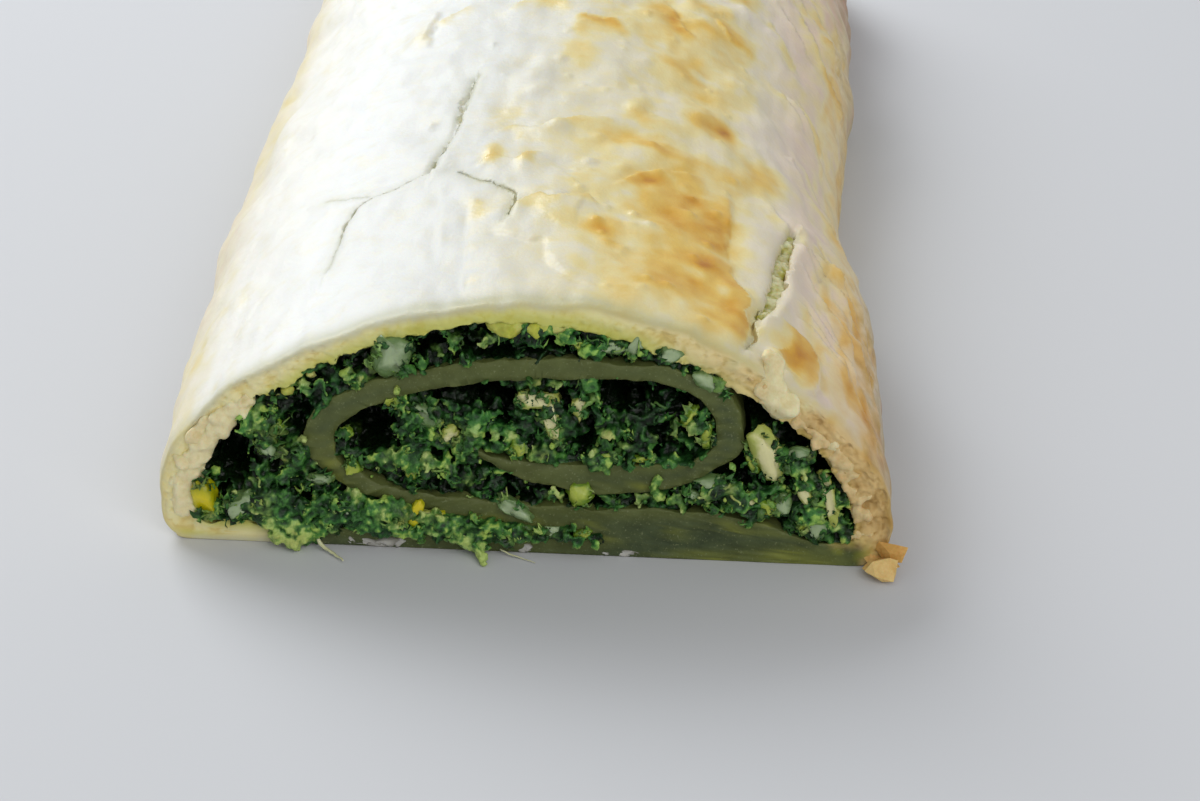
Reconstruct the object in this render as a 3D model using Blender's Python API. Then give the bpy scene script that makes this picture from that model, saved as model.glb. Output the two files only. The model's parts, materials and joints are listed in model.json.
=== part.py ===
"""A spinach strudel: one sheet of dough rolled round chopped spinach, cut open at one end.

Metres, +Z up. The strudel lies along Y on its flat base, with the cut end towards -Y and the
baked, tucked end towards +Y. The origin is on the base, in the middle of the whole.
"""

import math
import random

import bmesh
import bpy
from mathutils import Euler, Matrix, Vector, noise
from mathutils.bvhtree import BVHTree

MM = 0.001

# How near points count as one
WELD = 0.001 * MM

# The whole strudel. A few bits stick out in front of the cut, and count in the whole length.
WHOLE_LENGTH = 222 * MM
BITS_IN_FRONT = 2.8 * MM
LENGTH = WHOLE_LENGTH - BITS_IN_FRONT
CUT_Y = -WHOLE_LENGTH / 2 + BITS_IN_FRONT
WIDEST = 50 * MM
CREST = 38.2 * MM

# Its outline at the cut: the places where the curve runs level or upright, going round from the
# left corner of the base, each with the fullness of the quarter arc that leads to it
OUTLINE_START = (-45.0 * MM, 0.0)
OUTLINE = [
    (-WIDEST, 9.0 * MM, 2.6),
    (0.0, CREST, 1.68),
    (WIDEST, 7.0 * MM, 1.82),
    (45.0 * MM, 0.0, 2.6),
]
OUTLINE_STEPS = (5, 26, 26, 5)
BASE_STEPS = 8

# The swirl, seen at the cut. Its tongue is where the sheet of dough starts, in the middle.
TONGUE = (-6.8 * MM, 16.9 * MM)
SEAM_X = 9.0 * MM
SEAM_UNDER = 2.6 * MM
SEAM_OVER = 4.0 * MM
# The side of the dough that faces the middle, from the tongue outwards, over the first turn
INNER_TURN = [
    (8.5 * MM, 14.4 * MM, 2.2),
    (26.1 * MM, 20.5 * MM, 3.0),
    (12.5 * MM, 27.9 * MM, 2.4),
    (-25.1 * MM, 16.8 * MM, 2.0),
    (3.0 * MM, 7.8 * MM, 2.5),
]
# Where that side runs down to the right corner, and then round inside the crust
SLOPE_START = (26.0 * MM, 7.6 * MM)
SLOPE_END = (42.5 * MM, 3.4 * MM)
INSIDE_CRUST = [
    (45.4 * MM, 6.5 * MM, 2.0),
    (0.0, 35.7 * MM, 1.72),
    (-44.9 * MM, 6.5 * MM, 1.72),
    (-42.0 * MM, 3.0 * MM, 2.0),
]
# The side of the first turn that faces the crust, from the tongue outwards
OUTER_TURN = [
    (11.5 * MM, 10.0 * MM, 1.7),
    (29.6 * MM, 19.5 * MM, 1.8),
    (10.0 * MM, 30.6 * MM, 2.5),
    (-29.3 * MM, 17.3 * MM, 2.0),
    (SEAM_X, SEAM_OVER, 2.1),
]
ARC_STEPS = 9
SLOPE_STEPS = 5
INSIDE_STEPS = (4, 20, 20, 4)
SEAM_STEPS = 10

# Along the length
RING_SPACING = 6.2 * MM
CUT_RINGS = (1.4 * MM, 3.4 * MM, 6.4 * MM)
TUCK_LENGTH = 32 * MM
TUCK_RINGS = 9
TUCK_LOWEST = 0.16
TUCK_NARROWEST = 0.70
TUCK_CORNERS = 0.7
WAIST_AT = 88 * MM
WAIST_REACH = 32 * MM
WAIST_DEPTH = 3.6 * MM
BELLY_AT = 52 * MM
BELLY_REACH = 40 * MM
BELLY_OUT = 1.3 * MM
END_WALL = 32 * MM
CUTTER_OUT = 4 * MM

# Relief of the crust: (wavelength, height), fading out towards the base
SWELLS = ((34 * MM, 1.1 * MM), (13 * MM, 0.75 * MM))
RELIEF_FADES_BELOW = 10 * MM
# The crumbly left edge of the cut
CRUMBLE_REACH = 5 * MM
CRUMBLE = 0.9 * MM
CRUMBLE_WAVE = 3.1 * MM

# Cracks and creases in the crust: (x, distance behind the cut) along each route, in mm, and the
# half width of the groove in the middle of it
CRACKS = {
    "long_crack": (
        [(-12, 76), (-14, 66), (-14.5, 54), (-16, 46), (-19, 43), (-25, 41), (-27, 36), (-28, 26), (-29, 14)],
        0.75,
    ),
    "left_branch": ([(-24.6, 42.6), (-27.4, 44), (-31, 46)], 0.6),
    "right_branch": ([(-13.8, 45), (-10.6, 43), (-6, 36), (-3, 33.5), (-3.4, 26.5)], 0.65),
    "split": ([(36, 43.5), (34.4, 27), (33, 17), (31, 10.5), (29.5, 4)], 1.1),
    "side_split": ([(41, 46), (41.6, 42), (40.6, 38)], 0.8),
    "left_tuck": ([(-40, 188), (-33, 198), (-24, 206), (-15, 211)], 1.1),
    "middle_tuck": ([(-3, 190), (0, 200), (-2, 208)], 0.8),
    "right_tuck": ([(41, 186), (33, 197), (26, 206), (18, 211)], 1.1),
}
GROOVE_STEPS = 3
GROOVE_WANDER = 0.8
GROOVE_WAVE = 4
GROOVE_END_WIDTH = 0.45

# The filling
GAP = 0.3 * MM
SKIN = 0.06 * MM
RECESS = 2.2 * MM
LUMPS_OUT = 0.4 * MM
LUMP_SPACING = 4.3 * MM
LUMP_SIZE = (2.1 * MM, 3.4 * MM)
LUMP_SUNK = 0.6
LUMP_SHIFT = 0.25
LUMP_DENT = 0.38
LUMP_DENT_WAVE = 0.6
SEED = 11

# Larger bits that show at the cut: (x, z, length, height, turn in degrees), in mm
ONION_BITS = [
    (-18.0, 31.0, 6.4, 4.8, 70),
    (17.5, 32.6, 3.6, 3.0, 10),
    (25.2, 28.9, 5.4, 2.6, -32),
    (-36.0, 14.5, 3.6, 4.2, 30),
    (-38.5, 6.2, 5.4, 4.6, 20),
    (-12.5, 21.5, 8.4, 3.0, -12),
    (25.0, 12.0, 6.6, 2.2, 8),
    (41.0, 6.4, 3.2, 4.6, 0),
    (1.0, 6.8, 6.8, 2.2, -22),
]
CHEESE_BITS = [
    (32.6, 17.5, 3.2, 6.8, 18),
    (37.6, 16.6, 3.8, 2.4, 12),
    (39.8, 9.8, 2.6, 6.6, 24),
    (4.2, 23.4, 6.2, 3.2, -20),
    (8.6, 22.6, 2.6, 4.2, 0),
    (6.6, 19.6, 2.2, 4.0, 10),
    (-43.4, 7.2, 2.6, 4.0, 8),
]
BIT_DEPTH = 5 * MM
BIT_OUT = 0.9 * MM
BIT_CROOKED = 0.2
BIT_BEVEL = 0.16

# Shreds that hang over the bottom edge of the cut: (x, height of the top, drop, half width), mm
HANGING = [(-33.2, 5.4, 4.4, 2.3), (-29.8, 5.2, 4.2, 1.7), (-5.2, 4.55, 4.2, 1.8), (-8.6, 4.7, 3.3, 1.6)]
HANG_CLEAR = 0.35 * MM
HANG_OUT = 1.7 * MM
HANG_ROOT = 3.4 * MM
HANG_ROOT_HEIGHT = 1.5 * MM

# A flake of crust at the right foot of the cut: its middle, and its length, depth and height
FOOT_FLAKE = (49.4 * MM, CUT_Y + 0.8 * MM, 1.9 * MM)
FOOT_FLAKE_SIZE = (5.0 * MM, 6.6 * MM, 3.2 * MM)
FOOT_FLAKE_TURN = (0, math.radians(8), math.radians(-35))
FOOT_FLAKE_LIFT = 0.15 * MM
FOOT_FLAKE_RAGGED = 0.22
FOOT_FLAKE_THINNING = 0.35


def remove_all(things):
    """Removes these objects from the file."""
    for thing in list(things):
        bpy.data.objects.remove(thing)


def new_collection(name):
    """A collection in the scene."""
    made = bpy.data.collections.new(name)
    bpy.context.scene.collection.children.link(made)
    return made


def new_material(name, colour, roughness):
    """A plain material."""
    made = bpy.data.materials.new(name)
    made.use_nodes = True
    shader = made.node_tree.nodes["Principled BSDF"]
    shader.inputs["Base Color"].default_value = (*colour, 1.0)
    shader.inputs["Roughness"].default_value = roughness
    shader.inputs["Metallic"].default_value = 0.0
    return made


def new_object(name, mesh, collection, material=None):
    """An object of this mesh in the collection."""
    made = bpy.data.objects.new(name, mesh)
    collection.objects.link(made)
    if material:
        mesh.materials.clear()
        mesh.materials.append(material)
    return made


def between(start, end, share):
    """A number this share of the way from start to end."""
    return start + (end - start) * share


def quarter_arc(start, end, fullness, upright_first, steps):
    """Points after start, up to end, on a quarter of a superellipse between them.

    The arc leaves start upright and reaches end level, or the other way round. Fullness 2 is an
    ellipse, and more fills the corner.
    """
    power = 2 / fullness
    points = []
    for step in range(1, steps + 1):
        angle = math.pi / 2 * step / steps
        rising, falling = math.sin(angle) ** power, 1 - max(0.0, math.cos(angle)) ** power
        across, up = (falling, rising) if upright_first else (rising, falling)
        points.append((between(start[0], end[0], across), between(start[1], end[1], up)))
    return points


def curved_run(start, stations, upright_first, steps):
    """Points along quarter arcs through the stations, which turn by turn are level and upright."""
    points = [start]
    for number, (x, z, fullness) in enumerate(stations):
        count = steps[number] if isinstance(steps, tuple) else steps
        points += quarter_arc(points[-1], (x, z), fullness, upright_first, count)
        upright_first = not upright_first
    return points


def eased_run(start, end, steps):
    """Points after start on an S-shaped slope that is level at both ends."""
    points = []
    for step in range(1, steps + 1):
        share = step / steps
        eased = share * share * (3 - 2 * share)
        points.append((between(start[0], end[0], share), between(start[1], end[1], eased)))
    return points


def straight_run(start, end, steps):
    """Points after start on a straight line to end."""
    shares = [step / steps for step in range(1, steps + 1)]
    return [(between(start[0], end[0], share), between(start[1], end[1], share)) for share in shares]


def outline_points():
    """The outline of the strudel at the cut, all the way round."""
    over = curved_run(OUTLINE_START, OUTLINE, False, OUTLINE_STEPS)
    return over + straight_run(over[-1], OUTLINE_START, BASE_STEPS)[:-1]


def channel_points():
    """The outline of the spinach at the cut: what the rolled sheet of dough leaves open."""
    core = curved_run(TONGUE, INNER_TURN, True, ARC_STEPS)
    core += straight_run(core[-1], SLOPE_START, SLOPE_STEPS)
    core += eased_run(SLOPE_START, SLOPE_END, SLOPE_STEPS)
    core += curved_run(core[-1], INSIDE_CRUST, False, INSIDE_STEPS)[1:]
    core += straight_run(core[-1], (SEAM_X, SEAM_UNDER), SEAM_STEPS)
    shell = curved_run(TONGUE, OUTER_TURN, True, ARC_STEPS)
    return core + shell[:0:-1]


def shrunk(points, by):
    """The closed outline moved inwards by a distance."""
    area = sum(a[0] * b[1] - b[0] * a[1] for a, b in zip(points, points[1:] + points[:1]))
    side = 1 if area > 0 else -1
    moved = []
    for before, here, after in zip(points[-1:] + points[:-1], points, points[1:] + points[:1]):
        along = (Vector(here) - Vector(before)).normalized() + (Vector(after) - Vector(here)).normalized()
        along.normalize()
        moved.append((here[0] - side * along.y * by, here[1] + side * along.x * by))
    return moved


def prism(name, points, near_y, far_y):
    """A mesh of the outline (x, z), from near_y to far_y."""
    curve = bpy.data.curves.new(name, "CURVE")
    curve.dimensions = "2D"
    curve.fill_mode = "BOTH"
    curve.extrude = (far_y - near_y) / 2
    spline = curve.splines.new("POLY")
    spline.points.add(len(points) - 1)
    for point, (x, z) in zip(spline.points, points):
        point.co = (x, z, 0, 1)
    spline.use_cyclic_u = True
    holder = bpy.data.objects.new(name, curve)
    bpy.context.scene.collection.objects.link(holder)
    mesh = mesh_of(holder)
    # The curve lies in X and Y, so it is stood up: its Y becomes Z, and its depth runs along Y
    mesh.transform(Matrix.Translation((0, (near_y + far_y) / 2, 0)) @ Matrix.Rotation(math.pi / 2, 4, "X"))
    return mesh


def mesh_of(holder):
    """The evaluated mesh of a curve object, closed at its caps. The curve is removed."""
    bpy.context.view_layer.update()
    evaluated = holder.evaluated_get(bpy.context.evaluated_depsgraph_get())
    mesh = bpy.data.meshes.new_from_object(evaluated)
    mesh.transform(holder.matrix_world)
    bpy.data.objects.remove(holder)
    bm = bmesh.new()
    bm.from_mesh(mesh)
    bmesh.ops.remove_doubles(bm, verts=bm.verts, dist=WELD)
    bmesh.ops.recalc_face_normals(bm, faces=bm.faces)
    bm.to_mesh(mesh)
    bm.free()
    return mesh


def hump(distance, reach):
    """1 in the middle, falling smoothly to 0."""
    return math.exp(-((distance / reach) ** 2))


def tuck_share(behind):
    """0 along the strudel, and up to 1 at the tucked end."""
    return max(0.0, (behind - (LENGTH - TUCK_LENGTH)) / TUCK_LENGTH)


def section_point(x, z, behind):
    """Where a point of the outline at the cut lies, a distance behind the cut."""
    tuck = tuck_share(behind)
    round_off = math.sqrt(max(0.0, 1 - tuck * tuck))
    low = between(TUCK_LOWEST, 1, round_off)
    narrow = between(TUCK_NARROWEST, 1, round_off**TUCK_CORNERS)
    side = x / WIDEST
    if side > 0:
        x -= side * WAIST_DEPTH * hump(behind - WAIST_AT, WAIST_REACH)
    else:
        x += side * BELLY_OUT * hump(behind - BELLY_AT, BELLY_REACH)
    return Vector((x * narrow, CUT_Y + behind, z * low))


def crust_relief(point, behind):
    """How far the crust stands out of its smooth form at a point."""
    high = sum(noise.noise(point / length) * height for length, height in SWELLS)
    leftness = min(1.0, max(0.0, -point.x / WIDEST))
    high += noise.noise(point / CRUMBLE_WAVE) * CRUMBLE * hump(behind, CRUMBLE_REACH) * leftness
    return high * min(1.0, point.z / RELIEF_FADES_BELOW)


def ring_places():
    """Distances behind the cut at which the crust has a ring of points."""
    first, last = CUT_RINGS[-1], LENGTH - TUCK_LENGTH
    count = round((last - first) / RING_SPACING)
    along = [between(first, last, n / count) for n in range(1, count + 1)]
    tucked = [last + TUCK_LENGTH * math.sin(math.pi / 2 * n / TUCK_RINGS) for n in range(1, TUCK_RINGS)]
    return [*CUT_RINGS, *along, *tucked]


def crust_log():
    """The whole strudel as one closed mesh, before the swirl is cut into it."""
    mesh = prism("dough", outline_points(), CUT_Y, CUT_Y + LENGTH)
    bm = bmesh.new()
    bm.from_mesh(mesh)
    for behind in ring_places():
        everything = bm.verts[:] + bm.edges[:] + bm.faces[:]
        place = (0, CUT_Y + behind, 0)
        bmesh.ops.bisect_plane(bm, geom=everything, dist=WELD, plane_co=place, plane_no=(0, 1, 0))
    for vert in bm.verts:
        vert.co = section_point(vert.co.x, vert.co.z, vert.co.y - CUT_Y)
    bm.normal_update()
    moves = [vert.normal * crust_relief(vert.co, vert.co.y - CUT_Y) for vert in bm.verts]
    for vert, move in zip(bm.verts, moves):
        behind = vert.co.y - CUT_Y
        if min(behind, LENGTH - behind) < WELD:
            move.y = 0.0
        vert.co += move
        vert.co.z = max(0.0, vert.co.z)
    bmesh.ops.triangulate(bm, faces=bm.faces)
    bm.to_mesh(mesh)
    bm.free()
    return mesh


def surface_height(mesh_tree, x, y):
    """The height of the crust above a place on the board."""
    hit, _, _, _ = mesh_tree.ray_cast(Vector((x, y, 2 * CREST)), Vector((0, 0, -1)))
    return hit.z


def groove(name, route, half_width, mesh_tree):
    """A tapering tube along a crack, half sunk in the crust, that carves it."""
    curve = bpy.data.curves.new(name, "CURVE")
    curve.dimensions = "3D"
    curve.bevel_depth = half_width * MM
    curve.bevel_resolution = 1
    curve.use_fill_caps = True
    spline = curve.splines.new("POLY")
    places = [route[0]]
    for stop in route[1:]:
        places += straight_run(places[-1], stop, GROOVE_STEPS)
    spline.points.add(len(places) - 1)
    for number, (point, (x, behind)) in enumerate(zip(spline.points, places)):
        wander = noise.noise(Vector((x, behind, 0)) / GROOVE_WAVE) * GROOVE_WANDER
        x, y = (x + wander) * MM, CUT_Y + behind * MM
        point.co = (x, y, surface_height(mesh_tree, x, y), 1)
        point.radius = between(GROOVE_END_WIDTH, 1, math.sin(math.pi * number / (len(places) - 1)))
    holder = bpy.data.objects.new(name, curve)
    bpy.context.scene.collection.objects.link(holder)
    return mesh_of(holder)


def add_boolean(target, name, operation, other):
    """A Boolean modifier on target that takes an object or a collection.

    The solver is the one that keeps these many-sided meshes closed.
    """
    modifier = target.modifiers.new(name, "BOOLEAN")
    modifier.operation = operation
    modifier.solver = "MANIFOLD"
    if isinstance(other, bpy.types.Collection):
        modifier.operand_type = "COLLECTION"
        modifier.collection = other
    else:
        modifier.object = other


def apply_modifiers(target):
    """Makes the evaluated shape of the object its own mesh, without modifiers."""
    bpy.context.view_layer.update()
    evaluated = target.evaluated_get(bpy.context.evaluated_depsgraph_get())
    mesh = bpy.data.meshes.new_from_object(evaluated)
    target.modifiers.clear()
    target.data = mesh


def hide_helper(helper):
    """Marks an object as a cutter, which isn't part of the strudel."""
    helper.hide_render = True
    helper.display_type = "WIRE"


def foot_flake():
    """A chip of crust that has broken off at the foot of the cut and leans on it."""
    bm = bmesh.new()
    bmesh.ops.create_cube(bm, size=1.0)
    bmesh.ops.subdivide_edges(bm, edges=bm.edges, cuts=1, use_grid_fill=True)
    for vert in bm.verts:
        vert.co += noise.noise_vector(vert.co * 2.3 + Vector((4, 0, 2))) * FOOT_FLAKE_RAGGED
        vert.co.z *= 1 - FOOT_FLAKE_THINNING * (vert.co.x + 0.5)
    size = Matrix.Diagonal((*FOOT_FLAKE_SIZE, 1))
    turn = Euler(FOOT_FLAKE_TURN).to_matrix().to_4x4()
    bmesh.ops.transform(bm, matrix=Matrix.Translation(FOOT_FLAKE) @ turn @ size, verts=bm.verts)
    for vert in bm.verts:
        vert.co.z = max(FOOT_FLAKE_LIFT, vert.co.z)
    mesh = bpy.data.meshes.new("foot_flake")
    bm.to_mesh(mesh)
    bm.free()
    return mesh


def make_dough(strudel, cutters):
    """The rolled and baked sheet of dough: the crust, the swirl inside it and the sealed end."""
    baked = new_material("baked_dough", (0.80, 0.68, 0.45), 0.55)
    dough = new_object("dough", crust_log(), strudel, baked)
    tree = tree_of(dough)
    flake = new_object("foot_flake", foot_flake(), cutters)
    add_boolean(dough, "flake", "UNION", flake)
    apply_modifiers(dough)
    remove_all([flake])
    channel = prism("channel", channel_points(), CUT_Y - CUTTER_OUT, CUT_Y + LENGTH - END_WALL)
    hide_helper(new_object("channel", channel, cutters))
    for name, (route, half_width) in CRACKS.items():
        hide_helper(new_object(name, groove(name, route, half_width, tree), cutters))
    add_boolean(dough, "swirl_and_cracks", "DIFFERENCE", cutters)


def tree_of(thing):
    """A tree of the object's faces, for finding the crust's height."""
    bm = bmesh.new()
    bm.from_mesh(thing.data)
    tree = BVHTree.FromBMesh(bm)
    bm.free()
    return tree


def inside(x, z, outline):
    """Whether a point of the cut is inside a closed outline."""
    crossings = 0
    for (x0, z0), (x1, z1) in zip(outline, outline[1:] + outline[:1]):
        if (z0 > z) != (z1 > z) and x < x0 + (x1 - x0) * (z - z0) / (z1 - z0):
            crossings += 1
    return crossings % 2 == 1


def lump(centre, size, turn, subdivisions=1):
    """A clod of chopped spinach: a squashed, dented ball."""
    bm = bmesh.new()
    bmesh.ops.create_icosphere(bm, subdivisions=subdivisions, radius=1.0)
    for vert in bm.verts:
        vert.co *= 1 + LUMP_DENT * noise.noise(vert.co / LUMP_DENT_WAVE + centre / MM)
    placed = Matrix.Translation(centre) @ turn.to_matrix().to_4x4() @ Matrix.Diagonal((*size, 1))
    bmesh.ops.transform(bm, matrix=placed, verts=bm.verts)
    mesh = bpy.data.meshes.new("lump")
    bm.to_mesh(mesh)
    bm.free()
    return mesh


def chopped_bit(x, z, length, height, turn):
    """An onion or cheese bit: a bevelled, slightly crooked block that reaches out of the cut."""
    bm = bmesh.new()
    bmesh.ops.create_cube(bm, size=1.0)
    for vert in bm.verts:
        vert.co += noise.noise_vector(vert.co * 3 + Vector((x, z, 0))) * BIT_CROOKED
    bmesh.ops.bevel(bm, geom=bm.edges, offset=BIT_BEVEL, segments=1, profile=0.5, affect="EDGES")
    size = Matrix.Diagonal((length * MM, BIT_DEPTH, height * MM, 1))
    lean = Matrix.Rotation(math.radians(-turn), 4, "Y")
    place = Matrix.Translation((x * MM, CUT_Y - BIT_OUT + BIT_DEPTH / 2, z * MM))
    bmesh.ops.transform(bm, matrix=place @ lean @ size, verts=bm.verts)
    mesh = bpy.data.meshes.new("bit")
    bm.to_mesh(mesh)
    bm.free()
    return mesh


def hanging_shred(x, top, drop, half_width):
    """A wet shred of leaf that hangs over the lower edge of the cut, clear of the dough."""
    centre = Vector((x * MM, CUT_Y - HANG_CLEAR - HANG_OUT / 2, (top - drop / 2) * MM))
    size = (half_width * MM, HANG_OUT / 2, drop / 2 * MM)
    return lump(centre, size, Euler((0, 0, 0)), 2)


def shred_root(x, top, drop, half_width):
    """The upper end of a hanging shred, which goes back into the heap above the dough."""
    reach = HANG_CLEAR + HANG_OUT / 2 + HANG_ROOT
    bm = bmesh.new()
    bmesh.ops.create_cube(bm, size=1.0)
    bmesh.ops.bevel(bm, geom=bm.edges, offset=BIT_BEVEL, segments=1, profile=0.5, affect="EDGES")
    size = Matrix.Diagonal((half_width * MM, reach, HANG_ROOT_HEIGHT, 1))
    place = Matrix.Translation((x * MM, CUT_Y + HANG_ROOT - reach / 2, top * MM - HANG_ROOT_HEIGHT / 2))
    bmesh.ops.transform(bm, matrix=place @ size, verts=bm.verts)
    mesh = bpy.data.meshes.new("shred_root")
    bm.to_mesh(mesh)
    bm.free()
    return mesh


def spinach_lumps(outline):
    """Clods spread evenly over the cut of the filling, each of its own size and turn."""
    drawn = random.Random(SEED)
    meshes = []
    rows = int(CREST / LUMP_SPACING) + 1
    columns = int(2 * WIDEST / LUMP_SPACING) + 1
    for row in range(rows):
        for column in range(columns):
            x = -WIDEST + (column + 0.5 * (row % 2) + drawn.uniform(-LUMP_SHIFT, LUMP_SHIFT)) * LUMP_SPACING
            z = (row + 0.5 + drawn.uniform(-LUMP_SHIFT, LUMP_SHIFT)) * LUMP_SPACING
            if not inside(x, z, outline):
                continue
            out = drawn.uniform(-LUMPS_OUT, RECESS)
            size = [drawn.uniform(*LUMP_SIZE) for _ in range(3)]
            turn = Euler([drawn.uniform(0, math.pi) for _ in range(3)])
            meshes.append(lump(Vector((x, CUT_Y + out + size[1] * LUMP_SUNK, z)), size, turn))
    return meshes


def make_filling(strudel, helpers):
    """The chopped spinach between the turns of dough, with its onion and cheese, as one heap."""
    outline = channel_points()
    bare = shrunk(outline, GAP)
    far = CUT_Y + LENGTH - END_WALL - GAP
    spinach = new_material("spinach", (0.06, 0.13, 0.03), 0.45)
    core = prism("filling", shrunk(outline, GAP + SKIN), CUT_Y + RECESS, far - SKIN)
    filling = new_object("filling", core, strudel, spinach)
    heap = new_collection("heap")
    for mesh in spinach_lumps(bare):
        new_object("lump", mesh, heap)
    for bit in ONION_BITS + CHEESE_BITS:
        new_object("bit", chopped_bit(*bit), heap)
    add_boolean(filling, "heap", "UNION", heap)
    # The heap is cut back to where the dough leaves room for it
    room = new_object("room", prism("room", bare, CUT_Y - CUTTER_OUT, far), helpers)
    add_boolean(filling, "room", "INTERSECT", room)
    apply_modifiers(filling)
    remove_all([room, *heap.objects])
    for shred in HANGING:
        new_object("shred", hanging_shred(*shred), heap)
        new_object("shred_root", shred_root(*shred), heap)
    add_boolean(filling, "shreds", "UNION", heap)
    apply_modifiers(filling)
    remove_all(heap.objects)
    bpy.data.collections.remove(heap)


def main():
    noise.seed_set(SEED)
    remove_all(bpy.data.objects)
    strudel = new_collection("spinach_strudel")
    cutters = new_collection("cutters")
    make_dough(strudel, cutters)
    make_filling(strudel, cutters)


main()
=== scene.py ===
"""The finished looks of a cut spinach strudel, made over its CAD model.

Metres, +Z up. The strudel lies along Y, with its cut end towards -Y. Most sizes are given in
millimetres, times MM. "Behind" is a distance behind the plane of the cut.
"""

import json
import math
import random

import bmesh
import bpy
import numpy as np
from mathutils import Euler, Matrix, Vector, noise
from mathutils.bvhtree import BVHTree
from mathutils.kdtree import KDTree

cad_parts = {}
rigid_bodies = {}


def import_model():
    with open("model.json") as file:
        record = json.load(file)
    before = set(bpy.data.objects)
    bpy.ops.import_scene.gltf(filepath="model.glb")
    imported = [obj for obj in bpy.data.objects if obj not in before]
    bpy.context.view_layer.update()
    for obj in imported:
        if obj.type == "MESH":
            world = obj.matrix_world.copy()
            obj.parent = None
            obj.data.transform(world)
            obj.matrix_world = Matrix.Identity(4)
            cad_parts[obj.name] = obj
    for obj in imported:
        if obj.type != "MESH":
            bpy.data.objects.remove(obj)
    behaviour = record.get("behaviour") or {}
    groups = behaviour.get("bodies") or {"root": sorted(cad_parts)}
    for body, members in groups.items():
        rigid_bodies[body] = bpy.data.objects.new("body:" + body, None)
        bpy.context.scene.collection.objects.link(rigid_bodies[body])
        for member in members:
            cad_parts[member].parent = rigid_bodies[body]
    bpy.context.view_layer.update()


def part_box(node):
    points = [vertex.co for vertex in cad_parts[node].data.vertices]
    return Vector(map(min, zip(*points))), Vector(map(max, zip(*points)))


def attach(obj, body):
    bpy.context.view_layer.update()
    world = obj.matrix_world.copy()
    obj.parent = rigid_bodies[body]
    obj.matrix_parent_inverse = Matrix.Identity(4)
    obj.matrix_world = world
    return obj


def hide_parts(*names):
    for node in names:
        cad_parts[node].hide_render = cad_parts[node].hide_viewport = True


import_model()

MM = 0.001
SEED = 7
# The folds and crumbs are drawn from noise that would otherwise differ in each run
noise.seed_set(SEED)

# ---------------------------------------------------------------- sizes of the strudel, as in the CAD

DOUGH_HIGH = Vector(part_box("dough")[1])
FILLING_HIGH = Vector(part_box("filling")[1])
LENGTH = 219.2 * MM
BACK_Y = DOUGH_HIGH.y
CUT_Y = BACK_Y - LENGTH
CHANNEL_END = FILLING_HIGH.y
WIDEST = 50 * MM
CREST = 38.2 * MM
ABOVE_FLOOR = 0.02 * MM

OUTLINE_START = (-45.0 * MM, 0.0)
OUTLINE = [
    (-WIDEST, 9.0 * MM, 2.6),
    (0.0, CREST, 1.68),
    (WIDEST, 7.0 * MM, 1.82),
    (45.0 * MM, 0.0, 2.6),
]
TONGUE = (-6.8 * MM, 16.9 * MM)
SEAM_X = 9.0 * MM
SEAM_UNDER = 2.6 * MM
SEAM_OVER = 4.0 * MM
INNER_TURN = [
    (8.5 * MM, 14.4 * MM, 2.2),
    (26.1 * MM, 20.5 * MM, 3.0),
    (12.5 * MM, 27.9 * MM, 2.4),
    (-25.1 * MM, 16.8 * MM, 2.0),
    (3.0 * MM, 7.8 * MM, 2.5),
]
SLOPE_START = (26.0 * MM, 7.6 * MM)
SLOPE_END = (42.5 * MM, 3.4 * MM)
INSIDE_CRUST = [
    (45.4 * MM, 6.5 * MM, 2.0),
    (0.0, 35.7 * MM, 1.72),
    (-44.9 * MM, 6.5 * MM, 1.72),
    (-42.0 * MM, 3.0 * MM, 2.0),
]
OUTER_TURN = [
    (11.5 * MM, 10.0 * MM, 1.7),
    (29.6 * MM, 19.5 * MM, 1.8),
    (10.0 * MM, 30.6 * MM, 2.5),
    (-29.3 * MM, 17.3 * MM, 2.0),
    (SEAM_X, SEAM_OVER, 2.1),
]
TUCK_LENGTH = 32 * MM
TUCK_LOWEST = 0.16
TUCK_NARROWEST = 0.70
TUCK_CORNERS = 0.7
WAIST_AT, WAIST_REACH, WAIST_DEPTH = 88 * MM, 32 * MM, 3.6 * MM
BELLY_AT, BELLY_REACH, BELLY_OUT = 52 * MM, 40 * MM, 1.3 * MM
SWELLS = ((34 * MM, 1.1 * MM), (13 * MM, 0.75 * MM))
RELIEF_FADES_BELOW = 6 * MM

# ---------------------------------------------------------------- fineness of the dough's mesh

ARC_FINENESS = 60
ARCH_COLUMNS = 400
BASE_COLUMNS = 30
CUT_FACE_INSETS = [0.3, 0.55, 0.8, 1.1, 1.4, 1.7, 2.0, 2.35, 2.7, 3.1, 3.5, 3.9, 4.4, 4.9, 5.5, 6.2, 7.0]
CUT_FACE_RINGS = 16
BACK_FACE_RINGS = 6
NEAREST_RING = 0.34 * MM
RINGS_WIDEN_BY = 0.0065
TUCK_RINGS = 22
CHANNEL_STEP = 0.5 * MM
CHANNEL_RINGS = [-3.0, -0.5, 0.1, 0.6, 1.1, 1.7, 2.5, 3.5, 5.0, 8.0, 14.0]
FAR_RINGS = list(range(26, 186, 12))
MOST_TRIANGLES = 198000

# ---------------------------------------------------------------- marks on the crust

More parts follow.
